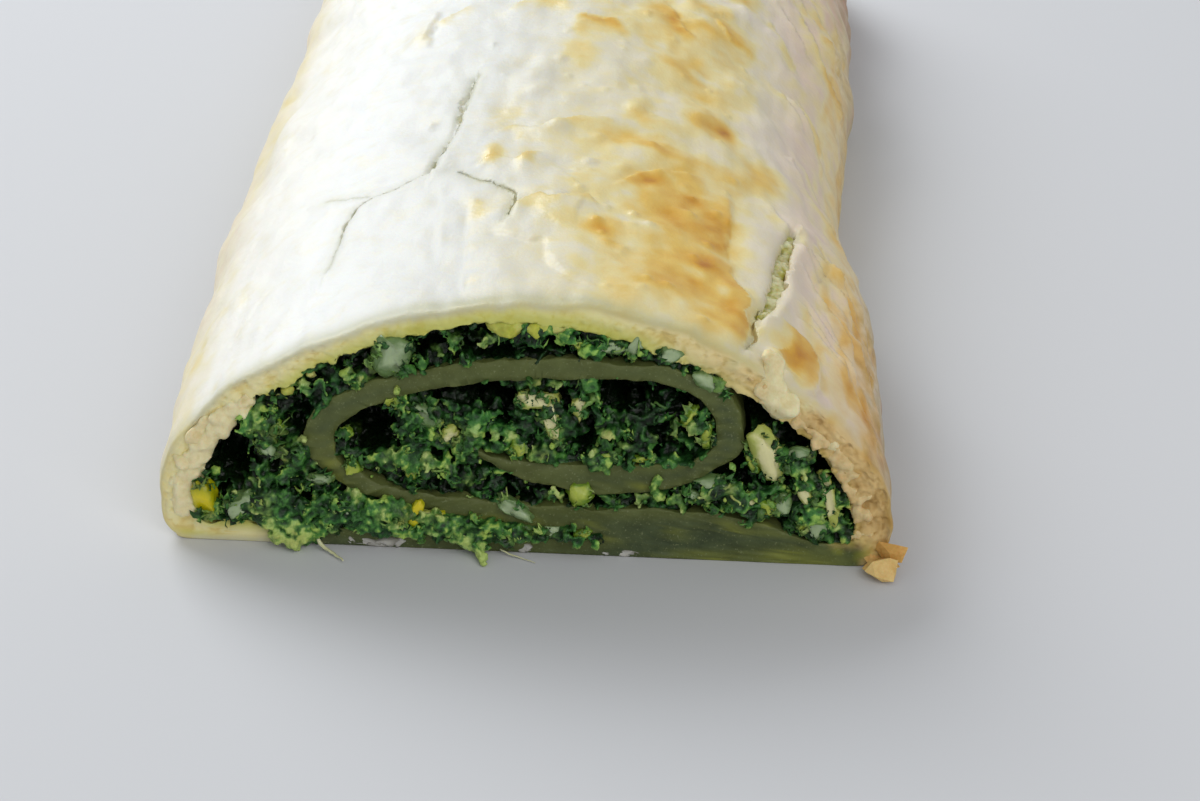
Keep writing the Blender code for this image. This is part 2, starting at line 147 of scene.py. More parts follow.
# Routes of the cracks as (x, behind) in mm, each with its half width
CRACKS = {
    "long_crack": ([(-12.4, 78), (-13.4, 68), (-14.0, 60), (-14.9, 52), (-15.6, 45.6)], 0.62),
    "arc_crack": (
        [(-15.4, 46.2), (-17.5, 44.2), (-20.3, 42), (-23.8, 41), (-26.2, 38.4), (-27.4, 32), (-28.2, 22)],
        0.30,
    ),
    "left_branch": ([(-24.6, 42.0), (-27.4, 44), (-31, 46.4)], 0.16),
    "right_branch": ([(-14.6, 45), (-10.8, 42), (-7.4, 38.4), (-5, 36.6)], 0.10),
    "short_branch": ([(-5.6, 37), (-3.6, 34.6), (-3.2, 30.8), (-4.0, 26.4)], 0.20),
    "split": (
        [(36.8, 46), (35.9, 41), (34.9, 36), (34.0, 30), (34.0, 26), (33.4, 22), (32.5, 18), (31.8, 14.5)],
        1.35,
    ),
    "side_split": ([(41, 46), (41.6, 42), (40.6, 38)], 0.30),
    "short_crack": ([(31.4, 17), (30.4, 12.2), (30.7, 9), (29.7, 4.5)], 0.34),
    "left_tuck": ([(-40, 188), (-33, 198), (-24, 206), (-15, 211)], 0.45),
    "middle_tuck": ([(-3, 190), (0, 200), (-2, 208)], 0.30),
    "right_tuck": ([(41, 186), (33, 197), (26, 206), (18, 211)], 0.50),
}

# Edges of thin baked layers that lie over one another. Each has its route as (x, behind) in mm, with
# the upper layer on its left; how far it stands up and how far it slopes away, in mm; and how brown
# it is baked, fading over a reach in mm.
LAYER_EDGES = {
    "middle_gold": (
        [(28.2, 2.0), (29.4, 6.0), (30.0, 9.8), (29.2, 12.8), (30.3, 16.2), (29.8, 17.9), (28.4, 20.1),
         (27.3, 23.4), (28.0, 28.4)],
        (0.30, 5.0), (0.40, 6.0),
    ),
    "upper_gold": (
        [(27.2, 27.0), (26.9, 31.5), (27.4, 36.0), (27.6, 41.5), (27.9, 49.5)],
        (0.25, 4.0), (0.30, 6.0),
    ),
    "ridge_gold": (
        [(23.4, 51.8), (19.7, 50.1), (16.8, 48.7), (14.6, 47.0), (12.8, 44.7), (11.2, 41.4), (10.1, 39.3)],
        (0.5, 4.0), (0.20, 5.0),
    ),
    "corner_gold": (
        [(37.4, 1.2), (38.8, 3.2), (39.6, 6.5), (39.8, 9.8), (39.3, 12.6), (38.0, 14.6), (35.6, 15.4),
         (33.4, 15.2)],
        (0.40, 3.0), (0.58, 10.0),
    ),
    "pale_lobe": (
        [(1.7, 21.6), (1.9, 18.4), (2.1, 15.6), (2.8, 13.0), (4.4, 10.4), (6.5, 8.5), (9.2, 6.9)],
        (0.30, 3.5), (0.0, 1.0),
    ),
    "scratch": (
        [(-14.6, 41.0), (-13.8, 34.0), (-13.4, 27.0), (-13.0, 20.0), (-12.8, 15.0)],
        (0.16, 1.4), (0.0, 1.0),
    ),
    "plate_side": (
        [(-9.6, 34.0), (-9.2, 26.0), (-8.7, 18.0), (-8.4, 10.0), (-8.0, 3.0)],
        (0.24, 2.0), (0.06, 2.0),
    ),
    "middle_plate": (
        [(8.7, 31.6), (6.9, 34.6), (4.4, 33.0), (3.1, 32.1), (1.7, 31.4), (0.4, 32.7), (-0.9, 32.2),
         (-2.2, 31.2), (-3.0, 30.1), (-3.4, 26.6)],
        (0.70, 3.5), (0.12, 4.0),
    ),
    "small_plate": (
        [(-0.1, 48.8), (-2.2, 47.3), (-3.5, 44.8), (-5.7, 45.7), (-7.9, 45.5), (-9.8, 42.9)],
        (0.60, 2.6), (0.16, 3.0),
    ),
    "left_plate": ([(-6.1, 23.5), (-3.2, 21.3), (-0.3, 19.5), (1.4, 20.6)], (0.30, 3.0), (0.0, 1.0)),
    "high_plate": (
        [(10.0, 63.0), (4.0, 61.0), (-1.5, 56.0), (-5.5, 57.5), (-9.0, 54.0)],
        (0.50, 3.5), (0.12, 4.0),
    ),
    "first_ridge": (
        [(45.4, 31.0), (43.3, 37.6), (40.9, 39.9), (38.4, 42.5), (36.4, 42.0)],
        (0.85, 1.6), (0.0, 1.0),
    ),
    "second_ridge": (
        [(44.8, 14.0), (44.1, 17.2), (42.3, 20.6), (39.4, 23.4), (36.9, 26.9)],
        (0.85, 1.6), (0.12, 2.0),
    ),
    "third_ridge": (
        [(43.6, 12.7), (42.8, 14.7), (40.3, 17.2), (37.9, 19.4), (35.7, 18.6)],
        (0.70, 1.4), (0.16, 2.0),
    ),
    "fourth_ridge": (
        [(45.8, 36.0), (45.5, 38.4), (44.0, 40.9), (41.9, 43.5), (39.5, 44.3)],
        (0.70, 1.5), (0.0, 1.0),
    ),
    "fifth_ridge": (
        [(44.8, 21.5), (44.0, 25.7), (42.1, 29.8), (39.7, 33.7), (37.3, 35.9)],
        (0.80, 1.6), (0.08, 2.0),
    ),
    "sixth_ridge": (
        [(43.4, 14.7), (42.3, 17.2), (39.8, 20.2), (37.2, 23.1), (35.6, 23.2)],
        (0.60, 1.3), (0.10, 2.0),
    ),
    "low_ridge": (
        [(47.6, 4.0), (46.6, 8.5), (45.0, 12.0), (43.2, 15.5), (41.8, 18.8)],
        (0.70, 1.5), (0.22, 2.6),
    ),
    "lower_ridge": (
        [(48.6, 12.0), (47.9, 17.0), (46.8, 21.5), (45.6, 26.0), (45.0, 30.0)],
        (0.70, 1.5), (0.12, 2.4),
    ),
    "low_streak": (
        [(49.2, 22.0), (48.7, 28.0), (47.8, 33.5), (46.8, 38.0), (46.2, 43.0)],
        (0.60, 1.5), (0.14, 2.4),
    ),
}

# Other browned places as (x, behind, reach across, reach along, strength), in mm
BROWNED = [
    (9.2, 24.0, 2.6, 5.0, 0.42),
    (36.2, 8.4, 3.0, 6.0, 0.30),
    (25.0, 13.0, 5.0, 10.0, 0.34),
    (17.0, 12.0, 6.0, 8.0, 0.24),
    (22.5, 26.0, 5.0, 6.0, 0.24),
    (22.0, 38.0, 7.0, 10.0, 0.38),
    (14.8, 43.5, 2.6, 3.0, 0.34),
    (19.0, 55.0, 10.0, 3.8, 0.32),
    (11.0, 57.0, 4.0, 4.5, 0.20),
    (13.5, 65.0, 3.0, 4.0, 0.30),
    (23.5, 71.0, 4.5, 5.5, 0.40),
    (26.4, 72.0, 1.4, 2.6, 0.40),
    (33.0, 62.5, 3.6, 4.5, 0.46),
    (28.5, 54.0, 3.0, 6.0, 0.22),
    (-7.6, 47.5, 1.6, 3.2, 0.34),
    (-2.7, 45.0, 1.3, 3.0, 0.34),
    (-6.5, 62.0, 3.0, 5.0, 0.16),
    (-8.0, 30.0, 1.6, 4.0, 0.16),
    (3.0, 84.0, 3.0, 6.0, 0.18),
    (22.0, 88.0, 8.0, 8.0, 0.26),
    (14.0, 34.0, 15.0, 50.0, 0.21),
    (42.0, 10.0, 4.0, 16.0, 0.20),
    (45.0, 40.0, 4.0, 30.0, 0.16),
    (20, 107, 12, 16, 0.32),
    (8, 150, 16, 22, 0.30),
    (-14, 176, 16, 14, 0.30),
    (22, 188, 12, 14, 0.40),
    (0, 208, 30, 8, 0.40),
    (0, 218, 40, 4, 0.26),
    (-30, 200, 8, 12, 0.26),
    (36, 204, 8, 8, 0.26),
    (48.5, 8, 3.5, 11, 0.42),
    (47, 34, 3.0, 16, 0.22),
    (47, 110, 5, 50, 0.28),
    (-48, 14, 3.5, 20, 0.12),
    (-48, 110, 3, 60, 0.12),
]

# Soft rises and hollows as (x, behind, reach across, reach along, height), in mm
LUMPS = [
    (-22.0, 45.8, 5.5, 2.2, -0.9),
    (-30.0, 52.0, 5.0, 3.0, -0.5),
    (-2.6, 79.0, 2.2, 4.5, 1.0),
    (-9.8, 66.0, 1.8, 9.0, 0.6),
    (-20.0, 70.0, 4.0, 12.0, -0.5),
    (-7.6, 47.5, 1.0, 3.0, 0.6),
    (-2.7, 44.8, 1.0, 2.8, 0.6),
    (2.5, 45.0, 3.0, 2.5, -0.5),
    (2.0, 27.0, 3.0, 6.0, 0.6),
    (5.5, 13.5, 3.0, 6.0, 0.5),
    (-4.5, 14.0, 2.5, 8.0, 0.3),
    (13.0, 22.0, 2.0, 6.0, -0.5),
    (6.0, 60.0, 5.0, 4.0, 0.5),
    (16.0, 60.5, 6.0, 2.5, -0.5),
    (20.0, 66.0, 4.0, 4.0, 0.5),
    (10.0, 76.0, 5.0, 5.0, 0.6),
    (31.0, 34.0, 2.6, 12.0, 0.5),
    (29.8, 54.0, 3.0, 4.0, -0.5),
]

# Small glossy blisters as (x, behind, radius, height), in mm
BLISTERS = [
    (8.5, 27.1, 0.95, 0.55),
    (9.2, 23.6, 0.60, 0.35),
    (13.4, 31.6, 0.60, 0.40),
    (15.6, 29.3, 0.75, 0.45),
    (21.4, 37.2, 0.95, 0.50),
    (25.4, 40.8, 0.75, 0.45),
    (22.0, 43.3, 0.60, 0.35),
    (15.7, 12.1, 0.60, 0.35),
    (15.1, 9.1, 0.75, 0.40),
    (22.0, 23.8, 0.50, 0.30),
    (-9.0, 33.1, 0.80, 0.30),
    (5.6, 36.6, 0.80, 0.45),
    (6.6, 46.9, 1.10, 0.55),
    (7.6, 55.3, 1.10, 0.55),
    (15.8, 56.3, 0.90, 0.45),
    (13.2, 67.7, 1.60, 0.70),
    (1.6, 56.8, 1.80, 0.90),
    (-2.2, 70.3, 2.00, 0.80),
    (33.2, 6.0, 1.50, 0.95),
    (35.0, 3.4, 1.10, 0.60),
    (31.8, 3.0, 1.00, 0.50),
]
MORE_BLISTERS = 130
MORE_LAYERS = 34
FLANK_LAYERS = 56


# ---------------------------------------------------------------- curves and outlines


def between(start, end, share):
    """A number this share of the way from start to end."""
    return start + (end - start) * share


def quarter_arc(start, end, fullness, upright_first, steps):
    """Points after start, up to end, on a quarter of a superellipse between them."""
    power = 2 / fullness
    points = []
    for step in range(1, steps + 1):
        angle = math.pi / 2 * step / steps
        rising, falling = math.sin(angle) ** power, 1 - max(0.0, math.cos(angle)) ** power
        across, up = (falling, rising) if upright_first else (rising, falling)
        points.append((between(start[0], end[0], across), between(start[1], end[1], up)))
    return points


def curved_run(start, stations, upright_first):
    """Points along quarter arcs through the stations, which turn by turn are level and upright."""
    points = [start]
    for x, z, fullness in stations:
        points += quarter_arc(points[-1], (x, z), fullness, upright_first, ARC_FINENESS)
        upright_first = not upright_first
    return points


def resampled(points, count):
    """This many points at even distances along the open run, with both ends."""
    places = np.array(points)
    reach = np.concatenate([[0], np.cumsum(np.linalg.norm(np.diff(places, axis=0), axis=1))])
    stops = np.linspace(0, reach[-1], count)
    return np.stack([np.interp(stops, reach, places[:, axis]) for axis in (0, 1)], axis=1)


def outline_loop():
    """The outline of the strudel at the cut, close set over the arch and wide set at the base."""
    arch = resampled(curved_run(OUTLINE_START, OUTLINE, False), ARCH_COLUMNS + 1)
    base = resampled([arch[-1], arch[0]], BASE_COLUMNS + 1)
    return np.concatenate([arch[:-1], base[:-1]])


def channel_loop():
    """The outline of the spinach at the cut, between the turns of dough."""
    core = curved_run(TONGUE, INNER_TURN, True)
    core.append(SLOPE_START)
    for step in range(1, ARC_FINENESS + 1):
        share = step / ARC_FINENESS
        eased = share * share * (3 - 2 * share)
        x = between(SLOPE_START[0], SLOPE_END[0], share)
        core.append((x, between(SLOPE_START[1], SLOPE_END[1], eased)))
    core += curved_run(core[-1], INSIDE_CRUST, False)[1:]
    core.append((SEAM_X, SEAM_UNDER))
    shell = curved_run(TONGUE, OUTER_TURN, True)
    run = core + shell[::-1]
    length = sum(math.dist(a, b) for a, b in zip(run, run[1:]))
    return resampled(run, int(length / CHANNEL_STEP))[:-1]


def loop_normals(loop):
    """The outward normals at the points of a closed outline."""
    along = np.roll(loop, -1, axis=0) - np.roll(loop, 1, axis=0)
    normals = np.stack([along[:, 1], -along[:, 0]], axis=1)
    normals /= np.linalg.norm(normals, axis=1)[:, None] + 1e-12
    x, z = loop[:, 0], loop[:, 1]
    area = np.sum(x * np.roll(z, -1) - np.roll(x, -1) * z)
    return normals if area > 0 else -normals


def distance_to_segment(points, a, b):
    """The distance from each point to the segment, and how far along it the nearest place is."""
    along = b - a
    share = np.clip((points - a) @ along / max(along @ along, 1e-18), 0, 1)
    return np.linalg.norm(points - (a + share[:, None] * along), axis=1), share


def distance_to_loop(points, loop):
    """The distance from each point (x, z) to a closed outline."""
    best = np.full(len(points), 1e9)
    for a, b in zip(loop, np.roll(loop, -1, axis=0)):
        best = np.minimum(best, distance_to_segment(points, a, b)[0])
    return best


def inside_loop(points, loop):
    """Whether each point (x, z) is inside the closed outline."""
    x, z = points[:, 0], points[:, 1]
    odd = np.zeros(len(points), bool)
    for (x0, z0), (x1, z1) in zip(loop, np.roll(loop, -1, axis=0)):
        if z0 != z1:
            odd ^= ((z0 > z) != (z1 > z)) & (x < x0 + (x1 - x0) * (z - z0) / (z1 - z0))
    return odd


def room_loop():
    """The outline, at the cut, of all that lies within the crust: the spinach and the turns of dough."""
    return resampled(curved_run(SLOPE_END, INSIDE_CRUST, False) + [SLOPE_END], ARCH_COLUMNS)[:-1]


OUTLINE_LOOP = outline_loop()
CHANNEL_LOOP = channel_loop()
ROOM_LOOP = room_loop()
ARCH = OUTLINE_LOOP[:ARCH_COLUMNS]
ARCH_TOP = ARCH[ARCH[:, 1] > 9 * MM]
ARCH_TOP = ARCH_TOP[np.argsort(ARCH_TOP[:, 0])]


def hump(distance, reach):
    """1 in the middle, falling smoothly to 0."""
    return np.exp(-((distance / reach) ** 2))


def spot(across, along, reach_across, reach_along):
    """A soft round spot: 1 in its middle, and fading beyond its reach across and along."""
    return np.exp(-((across / reach_across) ** 2) - (along / reach_along) ** 2)


def smooth_step(low, high, value):
    """0 below low, 1 above high, and smooth between them."""
    share = np.clip((value - low) / (high - low), 0, 1)
    return share * share * (3 - 2 * share)


def waisted(x, behind):
    """Where x lies this far behind the cut: the strudel is narrower on the right, and fuller on the left."""
    right = np.where(x > 0, x / WIDEST * WAIST_DEPTH * hump(behind - WAIST_AT, WAIST_REACH), 0)
    left = np.where(x < 0, x / WIDEST * BELLY_OUT * hump(behind - BELLY_AT, BELLY_REACH), 0)
    return x - right + left


def bent_section(x, z, behind):
    """Where points of the outline at the cut lie this far behind the cut, as x and z."""
    tuck = max(0.0, (behind - (LENGTH - TUCK_LENGTH)) / TUCK_LENGTH)
    round_off = math.sqrt(max(0.0, 1 - tuck * tuck))
    low = between(TUCK_LOWEST, 1, round_off)
    narrow = between(TUCK_NARROWEST, 1, round_off**TUCK_CORNERS)
    return waisted(x, behind) * narrow, z * low


def on_crust(x, behind):
    """The point of the smooth crust at a place in mm, (x, behind)."""
    height = np.interp(x * MM, ARCH_TOP[:, 0], ARCH_TOP[:, 1])
    new_x, new_z = bent_section(np.array([x * MM]), np.array([height]), behind * MM)
    return np.array([new_x[0], CUT_Y + behind * MM, new_z[0]])


def noise_field(points, wave, shift=0.0):
    """Smooth noise at each point, about -0.5 to 0.5."""
    return np.array([noise.noise(point) for point in points / wave + shift])


# ---------------------------------------------------------------- meshes


def mesh_from(bm, name):
    """The mesh of a bmesh, with its doubles merged and its faces turned outwards."""
    bmesh.ops.remove_doubles(bm, verts=bm.verts, dist=1e-7)
    bmesh.ops.recalc_face_normals(bm, faces=bm.faces)
    return mesh_as_is(bm, name)


def mesh_as_is(bm, name):
    """The mesh of a bmesh, unchanged."""
    mesh = bpy.data.meshes.new(name)
    bm.to_mesh(mesh)
    bm.free()
    return mesh


def add_piece(name, mesh, material, smooth=True):
    """Puts a finished piece on the strudel, riding on its body."""
    piece = bpy.data.objects.new(name, mesh)
    bpy.context.scene.collection.objects.link(piece)
    mesh.materials.clear()
    mesh.materials.append(material)
    if smooth:
        mesh.shade_smooth()
    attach(piece, "root")
    return piece


def coordinates(mesh):
    """The places of a mesh's vertices."""
    flat = np.empty(len(mesh.vertices) * 3)
    mesh.vertices.foreach_get("co", flat)
    return flat.reshape(-1, 3)


def set_values(mesh, name, values):
    """Stores one number for each vertex."""
    attribute = mesh.attributes.new(name, "FLOAT", "POINT")
    attribute.data.foreach_set("value", np.clip(values, 0, 1).astype(np.float32))


def in_order(mesh):
    """The same mesh with its parts listed by their place, because cutting lists them anew in each run."""
    places = np.round(coordinates(mesh), 7)
    count = len(places)
    rank = np.empty(count)
    rank[np.lexsort(places.T)] = np.arange(count)
    mesh.vertices.foreach_set("co", places.ravel())
    bm = bmesh.new()
    bm.from_mesh(mesh)
    bm.verts.sort(key=lambda vert: rank[vert.index])
    bm.verts.index_update()
    for parts in (bm.edges, bm.faces):
        parts.sort(key=lambda part: np.polyval(sorted(vert.index for vert in part.verts)[:3], count))
    return mesh_as_is(bm, mesh.name)


def read_values(mesh, name):
    """A stored value of each of a mesh's points."""
    values = np.empty(len(mesh.vertices))
    mesh.attributes[name].data.foreach_get("value", values)
    return values


def finished_mesh(holder):
    """The mesh of an object with its modifiers, or of a curve. The object is removed."""
    bpy.context.scene.collection.objects.link(holder)
    bpy.context.view_layer.update()
    mesh = bpy.data.meshes.new_from_object(holder.evaluated_get(bpy.context.evaluated_depsgraph_get()))
    bpy.data.objects.remove(holder)
    return mesh


def lifted_to_floor(mesh):
    """The mesh with nothing of it under the floor."""
    places = coordinates(mesh)
    places[:, 2] = np.maximum(places[:, 2], ABOVE_FLOOR)
    mesh.vertices.foreach_set("co", places.ravel())
    return mesh


# ---------------------------------------------------------------- relief and colour of the crust


def along_route(points, route, reach):
    """For the points near a route on the crust: which they are, how far off, the side, the share along.

    The side is 1 on the left of the route and -1 on its right.
    """
    places = [on_crust(x, behind) for x, behind in route]
    low, high = np.min(places, axis=0) - reach, np.max(places, axis=0) + reach
    which = np.flatnonzero(np.all((points > low) & (points < high), axis=1))
    near = points[which]
    distance, side, share = np.full(len(near), 1e9), np.zeros(len(near)), np.zeros(len(near))
    lengths = [float(np.linalg.norm(b - a)) for a, b in zip(places, places[1:])]
    passed = 0.0
    for a, b, length in zip(places, places[1:], lengths):
        off, part = distance_to_segment(near, a, b)
        closer = off < distance
        turn = (b - a)[0] * (near - a)[:, 1] - (b - a)[1] * (near - a)[:, 0]
        distance = np.where(closer, off, distance)
        side = np.where(closer, np.where(turn > 0, 1.0, -1.0), side)
        share = np.where(closer, (passed + part * length) / sum(lengths), share)
        passed += length
    return which, distance, side, share


def random_layers():
    """More edges of thin layers for the rest of the crust: plates on top and streaks on the flanks."""
    drawn = random.Random(SEED)
    layers = []
    for _ in range(MORE_LAYERS):
        x, behind, turn = drawn.uniform(-24, 30), drawn.uniform(94, 206), drawn.uniform(0, math.tau)
        route = []
        for _ in range(drawn.randint(4, 6)):
            route.append((x, behind))
            turn += drawn.uniform(-0.7, 0.7)
            x = min(max(x + 2.6 * math.cos(turn), -40), 44)
            behind = min(behind + 3.2 * math.sin(turn), 212)
        brown = drawn.uniform(0.05, 0.5) if x > -12 else drawn.uniform(0, 0.15)
        layers.append((route, (drawn.uniform(0.2, 0.5), drawn.uniform(2, 4)), (brown, drawn.uniform(3, 7))))
    for number in range(FLANK_LAYERS):
        side = -1 if number % 3 == 0 else 1
        x, behind = drawn.uniform(34, 45), drawn.uniform(14, 208)
        route = []
        for _ in range(drawn.randint(4, 6)):
            route.append((side * x, behind))
            x = min(x + drawn.uniform(0.8, 2.2), 48.5)
            behind -= drawn.uniform(1.5, 4.0)
        rise = drawn.uniform(0.3, 0.75) if side > 0 else drawn.uniform(0.06, 0.2)
        brown = drawn.uniform(0, 0.18) if side > 0 else 0.0
        layers.append((route[::-1], (rise, drawn.uniform(1.2, 2.8)), (brown, 3)))
    return layers


def random_blisters():
    """More blisters, seeded, mostly right of the crest."""
    drawn = random.Random(SEED + 1)
    blisters = []
    for _ in range(MORE_BLISTERS):
        behind = drawn.uniform(4, 205)
        x = drawn.gauss(14, 14) if behind > 50 else drawn.uniform(4, 28)
        if -44 < x < 44:
            blisters.append((x, behind, drawn.uniform(0.4, 1.0), drawn.uniform(0.15, 0.4)))
    return blisters


ALL_LAYERS = list(LAYER_EDGES.values()) + random_layers()


def layer_relief(points):
    """The steps at the edges of the thin layers, in metres."""
    high = np.zeros(len(points))
    for route, (rise, slope), _ in ALL_LAYERS:
        which, distance, side, share = along_route(points, route, 4 * slope * MM)
        signed = side * distance
        taper = 1.0 if route[0] == route[-1] else np.clip(np.sin(math.pi * share) * 2.5, 0, 1)
        upper = smooth_step(-0.25 * MM, 0.45 * MM, signed) * np.exp(-np.maximum(signed, 0) / (slope * MM))
        lower = -0.3 * hump(signed + 0.6 * MM, 0.7 * MM)
        high[which] += rise * MM * (upper + lower) * taper
    return high


def crack_relief(points):
    """The lips beside the cracks, in metres, and how near each point is to a crack, 0 to 1."""
    lips, near = np.zeros(len(points)), np.zeros(len(points))
    for route, half_width in CRACKS.values():
        which, distance, side, _ = along_route(points, route, 12 * MM)
        raised = np.where(side > 0, 0.62, 0.12) * hump(distance, 4.0 * MM) - 0.5 * hump(distance, 0.9 * MM)
        lips[which] += raised * half_width * MM * 2
        # The wide halo carries painted shade in the sunken crust beside the crack
        tight, wide = hump(distance, (half_width + 0.35) * MM), hump(distance, (half_width + 1.6) * MM)
        near[which] = np.maximum.reduce([near[which], tight, 0.35 * wide])
    return lips, near


def blister_relief(points):
    """Soft lumps and small round bubbles baked into the crust, in metres."""
    raised = np.zeros(len(points))
    x, behind = points[:, 0] / MM, (points[:, 1] - CUT_Y) / MM
    for lump_x, lump_behind, across, along, height in LUMPS:
        raised += height * MM * spot(x - lump_x, behind - lump_behind, across, along)
    for x, behind, radius, height in BLISTERS + random_blisters():
        away = points - on_crust(x, behind)
        near = np.flatnonzero(np.all(np.abs(away) < 3 * radius * MM, axis=1))
        raised[near] += height * MM * hump(np.linalg.norm(away[near], axis=1), radius * MM)
    return raised


def crust_relief(points):
    """How far the crust stands out from its smooth form, in metres."""
    high = sum(noise_field(points, wave) * size for wave, size in SWELLS)
    lips, _ = crack_relief(points)
    high += lips + layer_relief(points) + blister_relief(points)
    stretched = points * (1, 0.45, 1)
    uneven = between(0.55, 0.85, smooth_step(50 * MM, 75 * MM, points[:, 1] - CUT_Y)) * MM
    high += noise_field(points, 6.5 * MM, 2.2) * uneven + noise_field(stretched, 2.2 * MM, 4.4) * 0.20 * MM
    return high * np.clip(points[:, 2] / RELIEF_FADES_BELOW, 0, 1)


def browning(points):
    """How browned the crust is at each point, 0 to 1."""
    brown = np.zeros(len(points))
    behind = (points[:, 1] - CUT_Y) / MM
    x = points[:, 0] / MM
    for centre_x, centre_behind, across, along, strength in BROWNED:
        brown += strength * spot(x - centre_x, behind - centre_behind, across, along)
    for route, _, (strength, reach) in ALL_LAYERS:
        which, distance, side, share = along_route(points, route, 2 * reach * MM)
        signed = side * distance + noise_field(points[which], 2.2 * MM, 7.7) * 1.4 * MM
        taper = 1.0 if route[0] == route[-1] else np.clip(np.sin(math.pi * share) * 1.8, 0, 1)
        edge = smooth_step(-0.7 * MM, (0.4 + 2.2 * strength) * MM, signed)
        edge = edge * hump(np.maximum(signed, 0), reach * MM)
        brown[which] = np.maximum(brown[which], 0) + strength * edge * taper
    blotches = 1.0 + 0.65 * noise_field(points, 6.5 * MM, 1.7) + 0.45 * noise_field(points, 2.6 * MM, 5.4)
    streaks = np.clip(noise_field(points * (1, 0.3, 1), 2.4 * MM, 8.3), 0, 1) * smooth_step(33, 43, np.abs(x))
    streaks *= 1 - 0.5 * smooth_step(30, 60, behind)
    edge_of_cut = 0.12 * hump(behind, 1.6)
    return brown * np.clip(blotches, 0.4, 1.6) + edge_of_cut + np.where(x > 0, 0.5, 0.15) * streaks


# ---------------------------------------------------------------- the dough


def ring_stations():
    """The rings of the dough's mesh from the front pole to the back, as (behind, inset, scale).

    A ring is first set in from the outline, towards the middle, and then scaled.
    """
    inmost = CUT_FACE_INSETS[-1] * MM
    front = [(0.0, inmost, ring / CUT_FACE_RINGS) for ring in range(CUT_FACE_RINGS)]
    front += [(0.0, inset * MM, 1.0) for inset in CUT_FACE_INSETS[::-1]] + [(0.0, 0.0, 1.0)]
    straight = LENGTH - TUCK_LENGTH
    body = []
    behind = NEAREST_RING
    while behind < straight - MM:
        body.append((behind, 0.0, 1.0))
        behind += NEAREST_RING + behind * RINGS_WIDEN_BY
    angles = [math.pi / 2 * n / TUCK_RINGS for n in range(TUCK_RINGS + 1)]
    tuck = [(straight + TUCK_LENGTH * math.sin(angle), 0.0, 1.0) for angle in angles]
    back = [(LENGTH, 0.0, 1 - ring / BACK_FACE_RINGS) for ring in range(1, BACK_FACE_RINGS + 1)]
    return front + body + tuck + back


# Yellow-green juice on the damp dough at the cut, as (x, z, reach across, reach up), in mm
LIME_SMEARS = [(-2.4, 34.9, 4.4, 1.6), (9.4, 3.8, 3.6, 2.0), (14.0, 15.3, 6.5, 1.3), (-3.0, 5.2, 6.0, 1.4),
               (27.0, 0.6, 7.0, 0.9), (38.0, 1.2, 8.0, 1.5), (44.8, 2.2, 3.0, 2.0), (21.2, 4.2, 1.3, 0.9),
               (-26.0, 13.0, 3.0, 5.0), (14.5, 11.4, 5.0, 0.9), (31.0, 5.6, 5.0, 1.0)]


def crumbliness(points):
    """1 where the cut dough is dry crust, and 0 where it is damp."""
    flat = points[:, [0, 2]]
    in_room = np.where(inside_loop(flat, ROOM_LOOP), distance_to_loop(flat, ROOM_LOOP), 0)
    top = between(7.5, 3.4, smooth_step(39 * MM, 43 * MM, flat[:, 0])) * MM
    damp_base = 1 - smooth_step(-1.5 * MM, 1.5 * MM, flat[:, 1] - top)
    damp_base *= smooth_step(-36 * MM, -27 * MM, flat[:, 0])
    damp_base *= 1 - smooth_step(45.8 * MM, 48.2 * MM, flat[:, 0])
    return (1 - smooth_step(0.4 * MM, 1.4 * MM, in_room)) * (1 - damp_base)


def torn_crumb(points, depth):
    """How sunken the torn crumb of the cut crust is at each point: round lumps, and layers on the right."""
    warp = 1.4 * noise_field(points, 5 * MM, 2.0) + 0.5 * noise_field(points, 1.5 * MM, 6.0)
    seams = hump(np.mod(depth / (1.2 * MM) + warp, 1.0) - 0.5, 0.2)
    seams *= smooth_step(20 * MM, 40 * MM, points[:, 0])
    creases = 0.5 * hump(noise_field(points, 2.4 * MM, 9.0), 0.08)
    creases += 0.35 * hump(noise_field(points, MM, 12.0), 0.1)
    lumps = 0.9 * noise_field(points, 3.0 * MM, 14.0) + 0.5 * noise_field(points, 0.9 * MM, 3.0)
    return creases + 0.45 * seams + lumps


def cut_face_relief(points, depth):
    """How far each point of the cut face lies behind the plane of the cut."""
    crumb = crumbliness(points)
    chips = smooth_step(0.05, 0.4, noise_field(points, 2.6 * MM, 12.0)) * hump(depth, 1.0 * MM)
    wet = noise_field(points, 3.2 * MM, 15.0) * 0.40 + noise_field(points, 0.9 * MM, 18.0) * 0.10
    calm = between(1.0, 0.25, hump(points[:, 0] + 2 * MM, 24 * MM)) * smooth_step(0.0, 4 * MM, points[:, 2])
    return (crumb * calm * (torn_crumb(points, depth) * 0.5 + 0.7 * chips) + (1 - crumb) * wet) * MM


def edge_radius(z):
    """How round the outer edge of the cut is."""
    top = smooth_step(16 * MM, 26 * MM, z)
    return np.where(z > 0.4 * MM, between(0.7, 1.7, top), 0.2) * MM


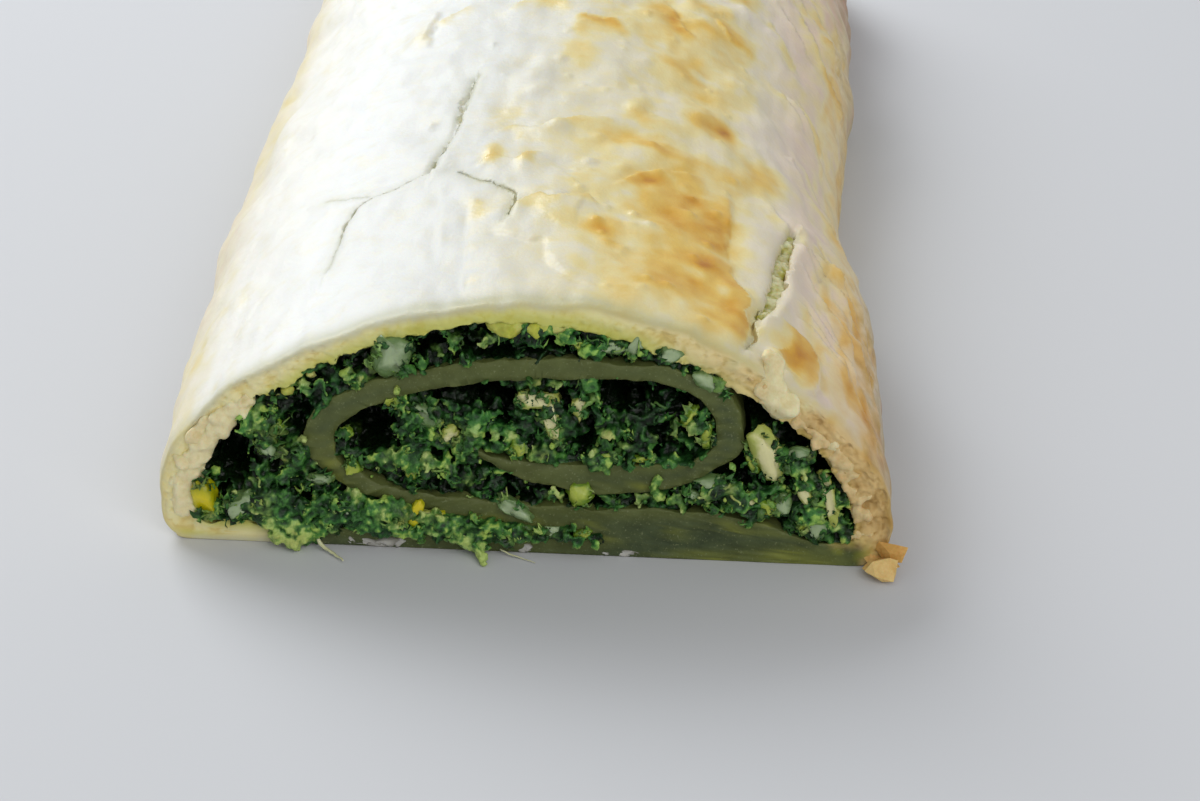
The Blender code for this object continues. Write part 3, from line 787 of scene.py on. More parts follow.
def log_mesh():
    """The whole strudel as one closed mesh, with the relief of its crust, before the swirl is cut."""
    stations = ring_stations()
    columns = len(OUTLINE_LOOP)
    bm = bmesh.new()
    bmesh.ops.create_uvsphere(bm, u_segments=columns, v_segments=len(stations) - 1, radius=1.0)
    mesh = mesh_as_is(bm, "log")
    sphere = coordinates(mesh)
    ring = np.rint(np.arccos(np.clip(sphere[:, 2], -1, 1)) / math.pi * (len(stations) - 1)).astype(int)
    column = np.rint(np.arctan2(sphere[:, 1], sphere[:, 0]) / math.tau * columns).astype(int) % columns
    behind, inset, scale = (np.array([stations[r][part] for r in ring]) for part in range(3))
    normals = loop_normals(OUTLINE_LOOP)[column]

    # The skin, as if every ring were at its full size
    x, z = OUTLINE_LOOP[column, 0], OUTLINE_LOOP[column, 1]
    skin = np.empty_like(sphere)
    for station in sorted(set(behind)):
        rows = behind == station
        skin[rows, 0], skin[rows, 2] = bent_section(x[rows], z[rows], station)
    skin[:, 1] = CUT_Y + behind
    out = np.stack([normals[:, 0], np.zeros(len(skin)), normals[:, 1]], axis=1)
    out[:, 1] = np.clip((behind - (LENGTH - TUCK_LENGTH)) / TUCK_LENGTH, 0, 1) ** 2 * 0.8
    out /= np.linalg.norm(out, axis=1)[:, None]
    out[behind > LENGTH - 1e-6, 1] = 0
    skin += out * crust_relief(skin)[:, None]

    # The two ends: each is the outline drawn in towards a middle
    middle = np.where(behind > LENGTH / 2, 3 * MM, 14 * MM)
    share = (1 - inset / np.hypot(skin[:, 0], skin[:, 2] - middle)) * scale
    place = skin.copy()
    place[:, 0] *= share
    place[:, 2] = middle + (skin[:, 2] - middle) * share
    depth = np.linalg.norm((skin - place)[:, [0, 2]], axis=1)

    # The edge of the cut is rounded, so the skin rolls over it
    radius = edge_radius(z)
    on_face = (behind < 1e-9) & (depth < radius)
    on_skin = (depth < 1e-9) & (behind < radius)
    turn = np.where(on_face, 1 - depth / radius, np.where(on_skin, 1 + behind / radius, 0)) * math.pi / 4
    rounded = on_face | on_skin
    inwards = np.where(rounded, radius * (1 - np.sin(turn)) - depth, 0)
    place[:, 0] -= normals[:, 0] * inwards
    place[:, 2] -= normals[:, 1] * inwards
    place[rounded, 1] = CUT_Y + (radius * (1 - np.cos(turn)))[rounded]

    face = np.flatnonzero((behind < 1e-9) & (scale > 0.2))
    fade_in = smooth_step(0.0, 0.8 * MM, depth[face])
    place[face, 1] += cut_face_relief(place[face], depth[face]) * fade_in
    place[:, 2] = np.maximum(place[:, 2], 0.0)
    mesh.vertices.foreach_set("co", place.ravel())
    bm = bmesh.new()
    bm.from_mesh(mesh)
    return mesh_from(bm, "dough")


def cut_into_rings(bm, rings):
    """Cuts the edges of a long shape across at these distances behind the cut, in mm."""
    for behind in rings:
        everything = bm.verts[:] + bm.edges[:] + bm.faces[:]
        place = (0, CUT_Y + behind * MM, 0)
        bmesh.ops.bisect_plane(bm, geom=everything, dist=1e-7, plane_co=place, plane_no=(0, 1, 0))


def channel_cutter():
    """The space of the filling, which is cut out of the dough. Its walls are uneven near the cut."""
    count = len(CHANNEL_LOOP)
    bm = bmesh.new()
    bmesh.ops.create_circle(bm, cap_ends=True, segments=count, radius=1.0)
    for vert in bm.verts:
        number = round(math.atan2(vert.co.y, vert.co.x) / math.tau * count) % count
        vert.co = (CHANNEL_LOOP[number][0], CUT_Y + CHANNEL_RINGS[0] * MM, CHANNEL_LOOP[number][1])
    made = bmesh.ops.extrude_face_region(bm, geom=bm.faces[:])
    for vert in (part for part in made["geom"] if isinstance(part, bmesh.types.BMVert)):
        vert.co.y = CHANNEL_END
    cut_into_rings(bm, CHANNEL_RINGS[1:] + FAR_RINGS)
    mesh = in_order(mesh_from(bm, "channel"))
    places = coordinates(mesh)
    flat = places[:, [0, 2]]
    nearest = np.array([np.argmin(np.sum((CHANNEL_LOOP - point) ** 2, axis=1)) for point in flat])
    out = loop_normals(CHANNEL_LOOP)[nearest]
    crumb = crumbliness(places)
    calm = between(1.0, 0.55, hump(flat[:, 0], 22 * MM))
    uneven = (noise_field(places, 2.4 * MM, 21.0) * 1.1 + noise_field(places, 1.0 * MM, 24.0) * 0.7) * calm
    smooth = noise_field(places, 4.0 * MM, 27.0) * 0.65 + noise_field(places, 1.2 * MM, 29.0) * 0.2
    near = hump(np.maximum(places[:, 1] - CUT_Y, 0), 9 * MM)
    seam = smooth_step(4 * MM, 9 * MM, np.hypot(flat[:, 0] - SEAM_X, (flat[:, 1] - SEAM_UNDER) * 3))
    shift = (crumb * uneven + (1 - crumb) * smooth) * near * seam * MM
    places[:, 0] = waisted(places[:, 0], places[:, 1] - CUT_Y) + out[:, 0] * shift
    places[:, 2] += out[:, 1] * shift
    mesh.vertices.foreach_set("co", places.ravel())
    return mesh


def crack_cutter(name, route, half_width):
    """A ragged, narrow tube along a crack, which is cut out of the crust."""
    curve = bpy.data.curves.new(name, "CURVE")
    curve.dimensions = "3D"
    curve.bevel_depth = half_width * MM
    curve.bevel_resolution = 2
    curve.use_fill_caps = True
    stops = []
    for start, stop in zip(route, route[1:]):
        steps = max(2, round(math.dist(start, stop) / 0.8))
        stops += [tuple(between(np.array(start), np.array(stop), n / steps)) for n in range(steps)]
    stops.append(route[-1])
    spline = curve.splines.new("POLY")
    spline.points.add(len(stops) - 1)
    for number, (point, (x, behind)) in enumerate(zip(spline.points, stops)):
        x += noise.noise(Vector((x, behind, 0)) / 4) * 0.8 + noise.noise(Vector((x, behind, 5)) / 1.3) * 0.35
        point.co = (*on_crust(x, behind), 1)
        ragged = 1 + noise.noise(Vector((x, behind, 9)) / 1.1) * 0.9
        point.radius = (0.3 + 0.7 * math.sin(math.pi * number / (len(stops) - 1))) * ragged
    tube = finished_mesh(bpy.data.objects.new(name, curve))
    bm = bmesh.new()
    bm.from_mesh(tube)
    for vert in bm.verts:
        vert.co.z += (vert.co.z - on_crust(vert.co.x / MM, (vert.co.y - CUT_Y) / MM)[2]) * 1.4
    return mesh_from(bm, name)


def cut_away(mesh, cutters):
    """The mesh with the cutters' shapes taken out of it."""
    held = bpy.data.objects.new("held", mesh)
    group = bpy.data.collections.new("cutters")
    bpy.context.scene.collection.children.link(group)
    for cutter in cutters:
        group.objects.link(bpy.data.objects.new(cutter.name, cutter))
    modifier = held.modifiers.new("cut", "BOOLEAN")
    modifier.operation = "DIFFERENCE"
    modifier.solver = "MANIFOLD"
    modifier.operand_type = "COLLECTION"
    modifier.collection = group
    result = finished_mesh(held)
    for thing in group.objects[:]:
        bpy.data.objects.remove(thing)
    bpy.data.collections.remove(group)
    return result


def without_flaps(bm):
    """Takes out each pair of triangles that lie back to back, until there are none."""
    flaps = bm.faces[:]
    while flaps:
        lying = {}
        for face in bm.faces:
            lying.setdefault(frozenset(face.verts), []).append(face)
        flaps = [face for faces in lying.values() if len(faces) > 1 for face in faces]
        bmesh.ops.delete(bm, geom=flaps, context="FACES")


def thinned(mesh):
    """The mesh in triangles, with the smallest merged, so that no more than the most allowed are left."""
    bm = bmesh.new()
    bm.from_mesh(mesh)
    bmesh.ops.triangulate(bm, faces=bm.faces)
    holder = bpy.data.objects.new("thinned", mesh_as_is(bm, mesh.name))
    modifier = holder.modifiers.new("thinned", "DECIMATE")
    modifier.ratio = min(1.0, MOST_TRIANGLES / len(holder.data.polygons))
    bm = bmesh.new()
    bm.from_mesh(finished_mesh(holder))
    without_flaps(bm)
    return mesh_as_is(bm, mesh.name)


def depth_in_dough(mesh, places):
    """How deep each place is under the skin of the whole strudel, without its two flat ends."""
    bm = bmesh.new()
    bm.from_mesh(mesh)
    near = CUT_Y + 2 * MM
    ends = [face for face in bm.faces if face.normal.y < -0.45 and face.calc_center_median().y < near]
    bmesh.ops.delete(bm, geom=ends, context="FACES")
    skin = BVHTree.FromBMesh(bm)
    bm.free()
    return np.array([skin.find_nearest(place)[3] for place in places])


def make_dough():
    """The rolled sheet of dough: baked crust outside, damp turns inside."""
    log = log_mesh()
    cutters = [channel_cutter()] + [crack_cutter(name, *crack) for name, crack in CRACKS.items()]
    whole = log.copy()
    mesh = thinned(in_order(cut_away(log, cutters)))
    places = coordinates(mesh)
    flat = places[:, [0, 2]]
    behind = places[:, 1] - CUT_Y
    depth = depth_in_dough(whole, places)
    dry = crumbliness(places)
    lime_reach = between(0.8, 3.0, hump(flat[:, 0] + 2 * MM, 22 * MM)) * MM
    lime = hump(distance_to_loop(flat, CHANNEL_LOOP), lime_reach) * (behind < 12 * MM)
    lime *= between(0.35, 1.0, dry) * between(1.0, 0.25, smooth_step(14 * MM, 28 * MM, flat[:, 0]) * dry)
    low_right = 0.7 * hump(flat[:, 0] - 38 * MM, 8 * MM) * (1 - smooth_step(0.8 * MM, 3.4 * MM, flat[:, 1]))
    low_left = hump(flat[:, 0] + 47 * MM, 5 * MM) * (1 - smooth_step(0.6 * MM, 2.2 * MM, flat[:, 1]))
    corners = np.maximum(low_right, low_left) * (behind < 2 * MM)
    _, crack_tint_and_shade = crack_relief(places)
    set_values(mesh, "toast", browning(places))
    damp_edge = (1 - dry) * (behind < 1.5 * MM)
    set_values(mesh, "inside", np.maximum(smooth_step(0.1 * MM, 1.3 * MM, depth), damp_edge))
    set_values(mesh, "dry", dry)
    # The crack value tints the skin olive in and beside the cracks, partly the filling's green showing and
    # partly painted shade beside them, and along the cut where spinach juice stains the skin
    juice = np.clip(2.0 * hump(behind, 3.4 * MM) * hump(flat[:, 0] + 8 * MM, 38 * MM), 0, 1)
    set_values(mesh, "crack", np.maximum(crack_tint_and_shade, juice * (depth < 1.5 * MM)))
    smears = np.zeros(len(places))
    for x, z, across, up in LIME_SMEARS:
        off = np.hypot((flat[:, 0] / MM - x) / across, (flat[:, 1] / MM - z) / up)
        smears = np.maximum(smears, hump(off, 1.0) * (behind < 2 * MM))
    smears *= np.clip(0.7 + 1.5 * noise_field(places, 1.6 * MM, 33.0), 0, 1.2)
    set_values(mesh, "lime", np.maximum.reduce([lime, corners, smears]))
    set_values(mesh, "torn", torn_crumb(places, depth) * (behind < 6 * MM))
    set_values(mesh, "side", (flat[:, 0] + WIDEST) / (2 * WIDEST))
    # Where the right flank's painted shade takes its cool tint: near the cut
    set_values(mesh, "near_cut_shade_share", 1 - smooth_step(24 * MM, 60 * MM, behind))
    piece = add_piece("baked_dough", mesh, dough_material())
    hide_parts("dough")


# ---------------------------------------------------------------- materials


def new_material(name):
    """A material, with its node tree and its shader."""
    made = bpy.data.materials.new(name)
    made.use_nodes = True
    return made, made.node_tree, made.node_tree.nodes["Principled BSDF"]


def put(tree, kind, **settings):
    """A node with these properties set."""
    node = tree.nodes.new(kind)
    for name, value in settings.items():
        setattr(node, name, value)
    return node


def attribute(tree, name):
    """The output of a stored value."""
    return put(tree, "ShaderNodeAttribute", attribute_name=name).outputs["Fac"]


def object_noise(tree, size, detail=4.0, roughness=0.55):
    """Noise over the object, of this feature size in metres."""
    places = put(tree, "ShaderNodeTexCoord").outputs["Object"]
    node = put(tree, "ShaderNodeTexNoise")
    node.inputs["Scale"].default_value = 1 / size
    node.inputs["Detail"].default_value = detail
    node.inputs["Roughness"].default_value = roughness
    tree.links.new(places, node.inputs["Vector"])
    return node.outputs["Fac"]


def feed(tree, socket, value):
    """Links an output to a socket, or sets the socket's own number or colour."""
    if isinstance(value, bpy.types.NodeSocket):
        tree.links.new(value, socket)
    else:
        socket.default_value = (*value, 1.0) if isinstance(value, tuple) and len(value) == 3 else value


def arithmetic(tree, operation, first, second=0.0):
    """A sum, product or other simple result of two values."""
    node = put(tree, "ShaderNodeMath", operation=operation)
    feed(tree, node.inputs[0], first)
    feed(tree, node.inputs[1], second)
    return node.outputs[0]


def mixed(tree, share, first, second, blend="MIX"):
    """A colour between two."""
    node = put(tree, "ShaderNodeMix", data_type="RGBA", blend_type=blend)
    feed(tree, node.inputs["Factor"], share)
    feed(tree, node.inputs[6], first)
    feed(tree, node.inputs[7], second)
    return node.outputs[2]


def ramp(tree, value, stops):
    """A colour for each value, from (place, colour) stops."""
    node = put(tree, "ShaderNodeValToRGB")
    while len(node.color_ramp.elements) < len(stops):
        node.color_ramp.elements.new(0.5)
    for element, (place, colour) in zip(node.color_ramp.elements, stops):
        element.position = place
        element.color = (*colour, 1.0)
    feed(tree, node.inputs["Fac"], value)
    return node.outputs["Color"]


def bumped(tree, height, distance, strength=1.0, onto=None):
    """The normal of a surface with this relief, in metres."""
    node = put(tree, "ShaderNodeBump")
    node.inputs["Strength"].default_value = strength
    node.inputs["Distance"].default_value = distance
    feed(tree, node.inputs["Height"], height)
    if onto:
        tree.links.new(onto, node.inputs["Normal"])
    return node.outputs["Normal"]


# The pale crust from the left foot over the crest to the right foot, and how it browns. The darker stops at
# the two feet are partly the crust's own colour and partly painted shade on the lower flanks. Then the
# painted shade over the right flank, darkest at its foot: far behind the cut, and near it, where it is tinted
# cool
PALE_CRUST = [(0.0, (0.78, 0.68, 0.50)), (0.06, (0.87, 0.85, 0.77)), (0.2, (0.86, 0.87, 0.84)),
              (0.4, (0.73, 0.735, 0.685)), (0.55, (0.71, 0.675, 0.545)), (0.82, (0.77, 0.69, 0.57)),
              (0.93, (0.74, 0.56, 0.45)), (1.0, (0.62, 0.38, 0.22))]
BROWN_CRUST = [(0.0, (0.80, 0.76, 0.56)), (0.2, (0.80, 0.69, 0.35)), (0.45, (0.78, 0.54, 0.14)),
               (0.75, (0.68, 0.37, 0.05)), (1.0, (0.50, 0.20, 0.03))]
FLANK_PAINTED_SHADE = [(0.86, (1.0, 1.0, 1.0)), (0.93, (0.97, 0.94, 0.94)), (0.96, (0.93, 0.87, 0.86)),
              (1.0, (0.60, 0.54, 0.50))]
NEAR_CUT_FLANK_PAINTED_SHADE = [(0.86, (1.0, 1.0, 1.0)), (0.93, (0.97, 0.91, 1.10)), (0.96, (0.90, 0.84, 1.14)),
             (1.0, (0.58, 0.52, 0.50))]
# Spinach over its shade value, from near black, the painted shade of its hollows and creases, to its lightest
# tips, which get painted light; and the same for its stalks
LEAF_GREENS = [(0.0, (0.002, 0.006, 0.001)), (0.35, (0.014, 0.060, 0.012)), (0.70, (0.070, 0.22, 0.038)),
               (1.0, (0.38, 0.55, 0.10))]
STALK_GREENS = [(0.0, (0.03, 0.07, 0.012)), (0.35, (0.13, 0.24, 0.05)), (0.72, (0.32, 0.44, 0.11)),
                (1.0, (0.58, 0.64, 0.26))]


def dough_material():
    """Baked crust with an egg-washed skin, dry crumb where it is cut, and damp dough inside."""
    made, tree, shader = new_material("baked_dough")
    blotch = object_noise(tree, 3 * MM, 5)
    speckle = object_noise(tree, 0.7 * MM, 3)
    spread = arithmetic(tree, "MULTIPLY", arithmetic(tree, "SUBTRACT", blotch, 0.5), 0.30)
    toast = arithmetic(tree, "ADD", attribute(tree, "toast"), spread)
    side = arithmetic(tree, "ADD", attribute(tree, "side"), arithmetic(tree, "MULTIPLY", spread, 0.3))
    browned = arithmetic(tree, "MULTIPLY", toast, 5.0)
    browned.node.use_clamp = True
    skin = mixed(tree, browned, ramp(tree, side, PALE_CRUST), ramp(tree, toast, BROWN_CRUST))
    # Painted shade on the right flank, darkest at its foot and tinted cool near the cut
    painted_flank_shade = mixed(tree, attribute(tree, "near_cut_shade_share"), ramp(tree, side, FLANK_PAINTED_SHADE), ramp(tree, side, NEAR_CUT_FLANK_PAINTED_SHADE))
    skin = mixed(tree, 1.0, skin, painted_flank_shade, "MULTIPLY")
    # Olive tint in and beside the cracks: partly the filling's green, partly painted shade
    skin = mixed(tree, arithmetic(tree, "MULTIPLY", attribute(tree, "crack"), 0.55), skin, (0.41, 0.41, 0.21))
    # The dry crumb is darker where it is sunken: painted shade in its creases and seams
    torn = arithmetic(tree, "ADD", attribute(tree, "torn"), arithmetic(tree, "MULTIPLY", speckle, 0.3))
    pale = ramp(tree, torn, [(0.1, (0.84, 0.77, 0.42)), (0.6, (0.81, 0.70, 0.31)), (1.0, (0.72, 0.57, 0.21))])
    tan = ramp(tree, torn, [(0.1, (0.69, 0.49, 0.21)), (0.6, (0.55, 0.36, 0.13)), (1.0, (0.38, 0.23, 0.07))])
    warm = ramp(tree, side, [(0.62, (0.0, 0.0, 0.0)), (0.9, (1.0, 1.0, 1.0))])
    dry = mixed(tree, warm, pale, tan)
    dry = mixed(tree, arithmetic(tree, "MULTIPLY", attribute(tree, "lime"), 0.75), dry, (0.52, 0.54, 0.07))
    damp = ramp(tree, blotch, [(0.3, (0.043, 0.060, 0.024)), (0.7, (0.087, 0.112, 0.046))])
    damp = mixed(tree, speckle, mixed(tree, 1.0, damp, (0.70, 0.76, 0.74), "MULTIPLY"), damp)
    rim = arithmetic(tree, "MULTIPLY", attribute(tree, "lime"), 0.75)
    damp = mixed(tree, rim, damp, (0.23, 0.25, 0.035))
    # Painted glints: small light flecks on the damp dough in place of its wet highlights
    painted_glints = ramp(tree, object_noise(tree, 0.35 * MM, 2), [(0.62, (0.0, 0.0, 0.0)), (0.72, (0.5, 0.5, 0.5))])
    damp = mixed(tree, painted_glints, damp, (0.24, 0.27, 0.13))
    crumb = mixed(tree, attribute(tree, "dry"), damp, dry)
    tree.links.new(mixed(tree, attribute(tree, "inside"), skin, crumb), shader.inputs["Base Color"])
    matt = arithmetic(tree, "SUBTRACT", 0.52, arithmetic(tree, "MULTIPLY", browned, 0.2))
    crumb_roughness = arithmetic(tree, "MULTIPLY", attribute(tree, "inside"), 0.55)
    roughness = arithmetic(tree, "MAXIMUM", matt, crumb_roughness)
    tree.links.new(roughness, shader.inputs["Roughness"])
    shader.inputs["Specular IOR Level"].default_value = 0.3
    shader.inputs["Subsurface Weight"].default_value = 0.12
    shader.inputs["Subsurface Radius"].default_value = (1.0, 0.7, 0.35)
    shader.inputs["Subsurface Scale"].default_value = 1.6 * MM
    fine = bumped(tree, speckle, 0.10 * MM, 0.6)
    tree.links.new(bumped(tree, blotch, 0.25 * MM, 0.6, fine), shader.inputs["Normal"])
    return made


def crumb_material(name, dark_kind, pale_kind):
    """Rough crumbs of two kinds, each as the stops of a ramp. Their shade and kind are stored values."""
    made, tree, shader = new_material(name)
    grain = object_noise(tree, 0.5 * MM, 3)
    spread = arithmetic(tree, "MULTIPLY", arithmetic(tree, "SUBTRACT", grain, 0.5), 0.8)
    value = arithmetic(tree, "ADD", attribute(tree, "shade"), spread)
    colour = mixed(tree, attribute(tree, "pale"), ramp(tree, value, dark_kind), ramp(tree, value, pale_kind))
    tree.links.new(colour, shader.inputs["Base Color"])
    tree.links.new(bumped(tree, grain, 0.15 * MM, 0.7), shader.inputs["Normal"])
    shader.inputs["Specular IOR Level"].default_value = 0.25
    shader.inputs["Roughness"].default_value = 0.55
    shader.inputs["Subsurface Weight"].default_value = 0.15
    shader.inputs["Subsurface Scale"].default_value = 1.0 * MM
    return made


def leaf_material():
    """Wet chopped spinach. Its shade, which holds painted light and shade, and how pale and stalky it is, are
    stored values.
    """
    made, tree, shader = new_material("wet_spinach")
    vein = object_noise(tree, 0.38 * MM, 3)
    spread = arithmetic(tree, "MULTIPLY", arithmetic(tree, "SUBTRACT", vein, 0.5), 0.6)
    value = arithmetic(tree, "ADD", attribute(tree, "shade"), spread)
    leaf = ramp(tree, value, LEAF_GREENS)
    colour = mixed(tree, attribute(tree, "pale"), leaf, ramp(tree, value, STALK_GREENS))
    patch = object_noise(tree, 6 * MM, 3)
    bluish = ramp(tree, patch, [(0.36, (0.45, 0.45, 0.45)), (0.47, (0.0, 0.0, 0.0))])
    brownish = ramp(tree, patch, [(0.56, (0.0, 0.0, 0.0)), (0.68, (0.5, 0.5, 0.5))])
    colour = mixed(tree, bluish, colour, mixed(tree, 1.0, colour, (0.55, 0.95, 1.0), "MULTIPLY"))
    colour = mixed(tree, brownish, colour, mixed(tree, 1.0, colour, (1.0, 0.55, 0.5), "MULTIPLY"))
    tree.links.new(colour, shader.inputs["Base Color"])
    shader.inputs["Roughness"].default_value = 0.28
    shader.inputs["Specular IOR Level"].default_value = 0.30
    tree.links.new(bumped(tree, vein, 0.20 * MM, 0.8), shader.inputs["Normal"])
    return made


def soft_food_material(name, rim, core, roughness=0.35, subsurface=0.3):
    """A soft, uneven food surface, which goes from one colour at its rim to another at its core."""
    made, tree, shader = new_material(name)
    grain = object_noise(tree, 1.2 * MM, 4)
    spread = arithmetic(tree, "MULTIPLY", arithmetic(tree, "SUBTRACT", grain, 0.5), 1.2)
    value = arithmetic(tree, "ADD", attribute(tree, "rim"), spread)
    tree.links.new(ramp(tree, value, [(0.15, core), (0.85, rim)]), shader.inputs["Base Color"])
    shader.inputs["Roughness"].default_value = roughness
    shader.inputs["Subsurface Weight"].default_value = subsurface
    shader.inputs["Subsurface Radius"].default_value = (1.0, 0.9, 0.5)
    shader.inputs["Subsurface Scale"].default_value = 1.0 * MM
    tree.links.new(bumped(tree, object_noise(tree, 0.4 * MM, 3), 0.12 * MM, 0.6), shader.inputs["Normal"])
    return made


# ---------------------------------------------------------------- the filling

# Dark hollows in the spinach as (x, z, reach across, reach up, depth), in mm
HOLLOWS = [
    (-20.2, 18.4, 4.2, 3.7, 8.0),
    (-6.6, 24.2, 6.2, 1.9, 8.0),
    (-1.6, 23.0, 1.6, 1.5, 6.0),
    (6.0, 23.6, 2.3, 1.6, 6.0),
    (12.8, 24.9, 3.8, 3.5, 9.0),
    (18.4, 25.4, 1.9, 1.4, 7.0),
    (22.2, 23.6, 1.7, 2.2, 7.0),
    (24.2, 19.2, 1.4, 2.1, 5.0),
    (-38.8, 13.2, 3.6, 4.0, 8.0),
    (-30.5, 18.0, 2.2, 1.4, 3.0),
    (30.8, 23.8, 4.2, 2.8, 9.0),
    (37.6, 19.8, 3.6, 2.6, 9.0),
    (41.0, 16.2, 2.4, 3.2, 9.0),
    (29.2, 18.6, 1.8, 3.6, 7.0),
    (29.8, 14.2, 2.2, 2.2, 7.0),
    (34.6, 13.2, 2.3, 1.7, 7.0),
    (-5.8, 31.5, 3.2, 0.8, 3.5),
    (1.4, 31.7, 2.4, 0.8, 3.5),
    (7.2, 32.6, 1.5, 1.6, 3.5),
    (17.4, 33.1, 2.2, 1.0, 3.5),
    (21.8, 31.4, 2.8, 0.9, 3.5),
    (26.6, 28.9, 2.8, 1.0, 4.0),
    (-4.8, 30.6, 2.2, 0.7, 3.0),
    (-24.5, 8.8, 1.4, 0.8, 3.5),
    (-10.7, 11.2, 0.8, 1.5, 3.0),
    (19.0, 8.8, 1.5, 0.7, 3.0),
]
SMALL_HOLLOWS = 190
# The outline, at the cut, of the bits that have slid down over the lower edge of the dough, in mm
OVERFLOW = [(-41, 7), (-37.5, 4.0), (-34, 1.4), (-30, 0.6), (-26, 2.4), (-21, 2.8), (-17, 2.4), (-13, 1.6),
            (-10, 2.8), (-6.5, 0.9), (-3, 2.0), (2, 2.6), (7, 2.4), (11.4, 3.0), (10.6, 4.2), (5, 4.4),
            (2, 4.6), (-8, 5.8), (-20, 8.0), (-34, 9.0)]
# Lumps of leaf that hang over the lower edge and the turns of dough, in mm: place (x, z), how far in front of
# the cut, size; and how light
HANGING = [
    (-34.4, 3.8, 0.7, 3.2, 0.85),
    (-33.2, 1.9, 1.4, 3.0, 0.85),
    (-31.2, 1.0, 1.8, 2.8, 0.85),
    (-29.6, 2.2, 1.3, 2.8, 0.85),
    (-31.4, 3.6, 0.8, 3.0, 0.85),
    (-8.8, 3.2, 0.7, 3.0, 0.85),
    (-7.0, 1.8, 1.3, 2.8, 0.85),
    (-5.4, 1.2, 1.9, 2.4, 0.85),
    (-5.0, 0.7, 2.9, 1.8, 0.85),
    (-4.8, 0.5, 3.7, 1.2, 0.85),
    (-11.4, 3.6, 0.7, 2.4, 0.85),
    (18.4, 12.8, 0.4, 1.7, 0.40),
    (18.0, 11.6, 0.5, 2.2, 0.30),
    (18.6, 10.4, 0.5, 2.2, 0.35),
    (11.0, 14.6, 0.3, 1.6, 0.45),
    (11.6, 13.6, 0.3, 1.2, 0.30),
    (-16.6, 25.2, 0.3, 1.5, 0.40),
    (28.4, 15.4, 0.3, 1.4, 0.35),
    (1.6, 15.6, 0.2, 1.6, 0.60),
]

# Chopped pieces that show, in mm: place (x, z), how far in front of the cut, width, height, depth, turn
ONION = [
    (-17.2, 30.2, 0.7, 5.6, 4.6, 2.4, 66),
    (-13.9, 21.6, -0.3, 6.0, 2.9, 1.6, -24),
    (11.6, 32.6, 0.0, 3.4, 1.5, 1.6, -8),
    (19.6, 32.0, 0.3, 2.8, 1.9, 1.4, -14),
    (14.9, 32.7, 0.0, 2.6, 1.7, 1.3, 56),
    (25.0, 27.6, 0.2, 4.6, 1.9, 1.8, -30),
    (25.7, 12.4, 0.3, 3.8, 1.9, 1.6, 8),
    (-34.2, 15.0, 0.3, 2.8, 2.3, 1.6, -20),
    (-38.2, 6.3, 1.3, 4.2, 3.4, 1.8, 15),
    (-0.9, 7.3, 0.8, 5.0, 1.9, 1.6, -24),
    (35.4, 9.7, 0.5, 2.4, 2.8, 1.5, 10),
    (37.0, 17.4, 0.1, 3.4, 1.7, 1.0, 15),
    (4.6, 3.8, 0.7, 3.0, 1.5, 1.2, -10),
    (40.0, 6.6, 0.4, 2.6, 4.4, 1.5, 20),
    (-27.2, 10.8, 0.6, 3.0, 1.5, 1.4, 14),
    (23.0, 10.6, 0.4, 2.2, 1.0, 1.0, -10),
    (-24.0, 5.6, 1.0, 3.4, 2.6, 1.5, 30),
]
CHEESE = [
    (32.9, 17.4, 0.7, 3.6, 7.4, 2.6, 25),
    (2.4, 23.8, -0.1, 5.2, 2.1, 2.0, -8),
    (4.0, 21.2, 0.0, 1.9, 5.0, 1.8, 8),
    (0.4, 24.4, -0.1, 1.8, 1.6, 1.6, 30),
    (7.6, 23.2, -0.2, 1.6, 3.2, 1.5, -4),
    (41.6, 10.8, 0.3, 1.7, 6.2, 1.5, 22),
    (-9.6, 18.5, 0.3, 1.8, 2.0, 1.4, 20),
    (-12.4, 5.3, 0.9, 3.0, 1.6, 1.5, -10),
    (30.6, 9.6, 0.4, 2.2, 1.8, 1.3, 40),
    (38.2, 11.6, 0.3, 1.6, 3.6, 1.3, 30),
]
YELLOW = [
    (-43.2, 7.0, 0.9, 2.9, 5.2, 2.6, 4),
    (-14.2, 6.2, 1.0, 1.6, 3.6, 1.5, -16),
    (-15.4, 5.0, 0.9, 1.5, 2.4, 1.4, 20),
    (-11.0, 5.8, 0.7, 1.4, 1.2, 1.2, 0),
]
LIME = [
    (-0.5, 16.8, 0.6, 1.9, 2.4, 1.6, -6),
    (7.9, 10.0, 0.7, 3.0, 2.9, 2.0, 4),
    (-22.8, 12.6, 0.6, 2.2, 2.0, 1.6, 24),
    (-17.0, 22.8, 0.1, 2.2, 1.7, 1.5, 10),
    (-23.4, 18.0, 0.2, 1.3, 1.3, 1.2, 0),
    (-14.8, 12.1, 0.5, 1.4, 1.6, 1.3, 35),
    (24.8, 19.6, 0.2, 1.2, 3.4, 1.2, -8),
    (22.6, 22.6, -0.2, 1.0, 3.0, 1.0, -38),
    (8.6, 3.6, 0.8, 2.4, 1.2, 1.1, 8),
    (30.9, 16.2, 0.4, 1.1, 3.0, 1.1, 20),
    (33.4, 9.0, 0.5, 2.4, 2.0, 1.4, 15),
    (38.6, 6.6, 0.5, 1.8, 1.5, 1.3, 15),
    (-33.0, 18.6, 0.3, 1.7, 1.2, 1.1, 30),
    (-27.2, 5.2, 0.9, 1.6, 1.4, 1.2, 30),
    (7.4, 32.7, -0.1, 1.6, 1.0, 1.1, -12),
    (12.2, 15.9, 0.2, 3.6, 0.9, 1.0, 2),
    (16.4, 15.8, 0.2, 2.8, 0.8, 1.0, 3),
]
ALL_CHOPPED = ONION + CHEESE + YELLOW + LIME
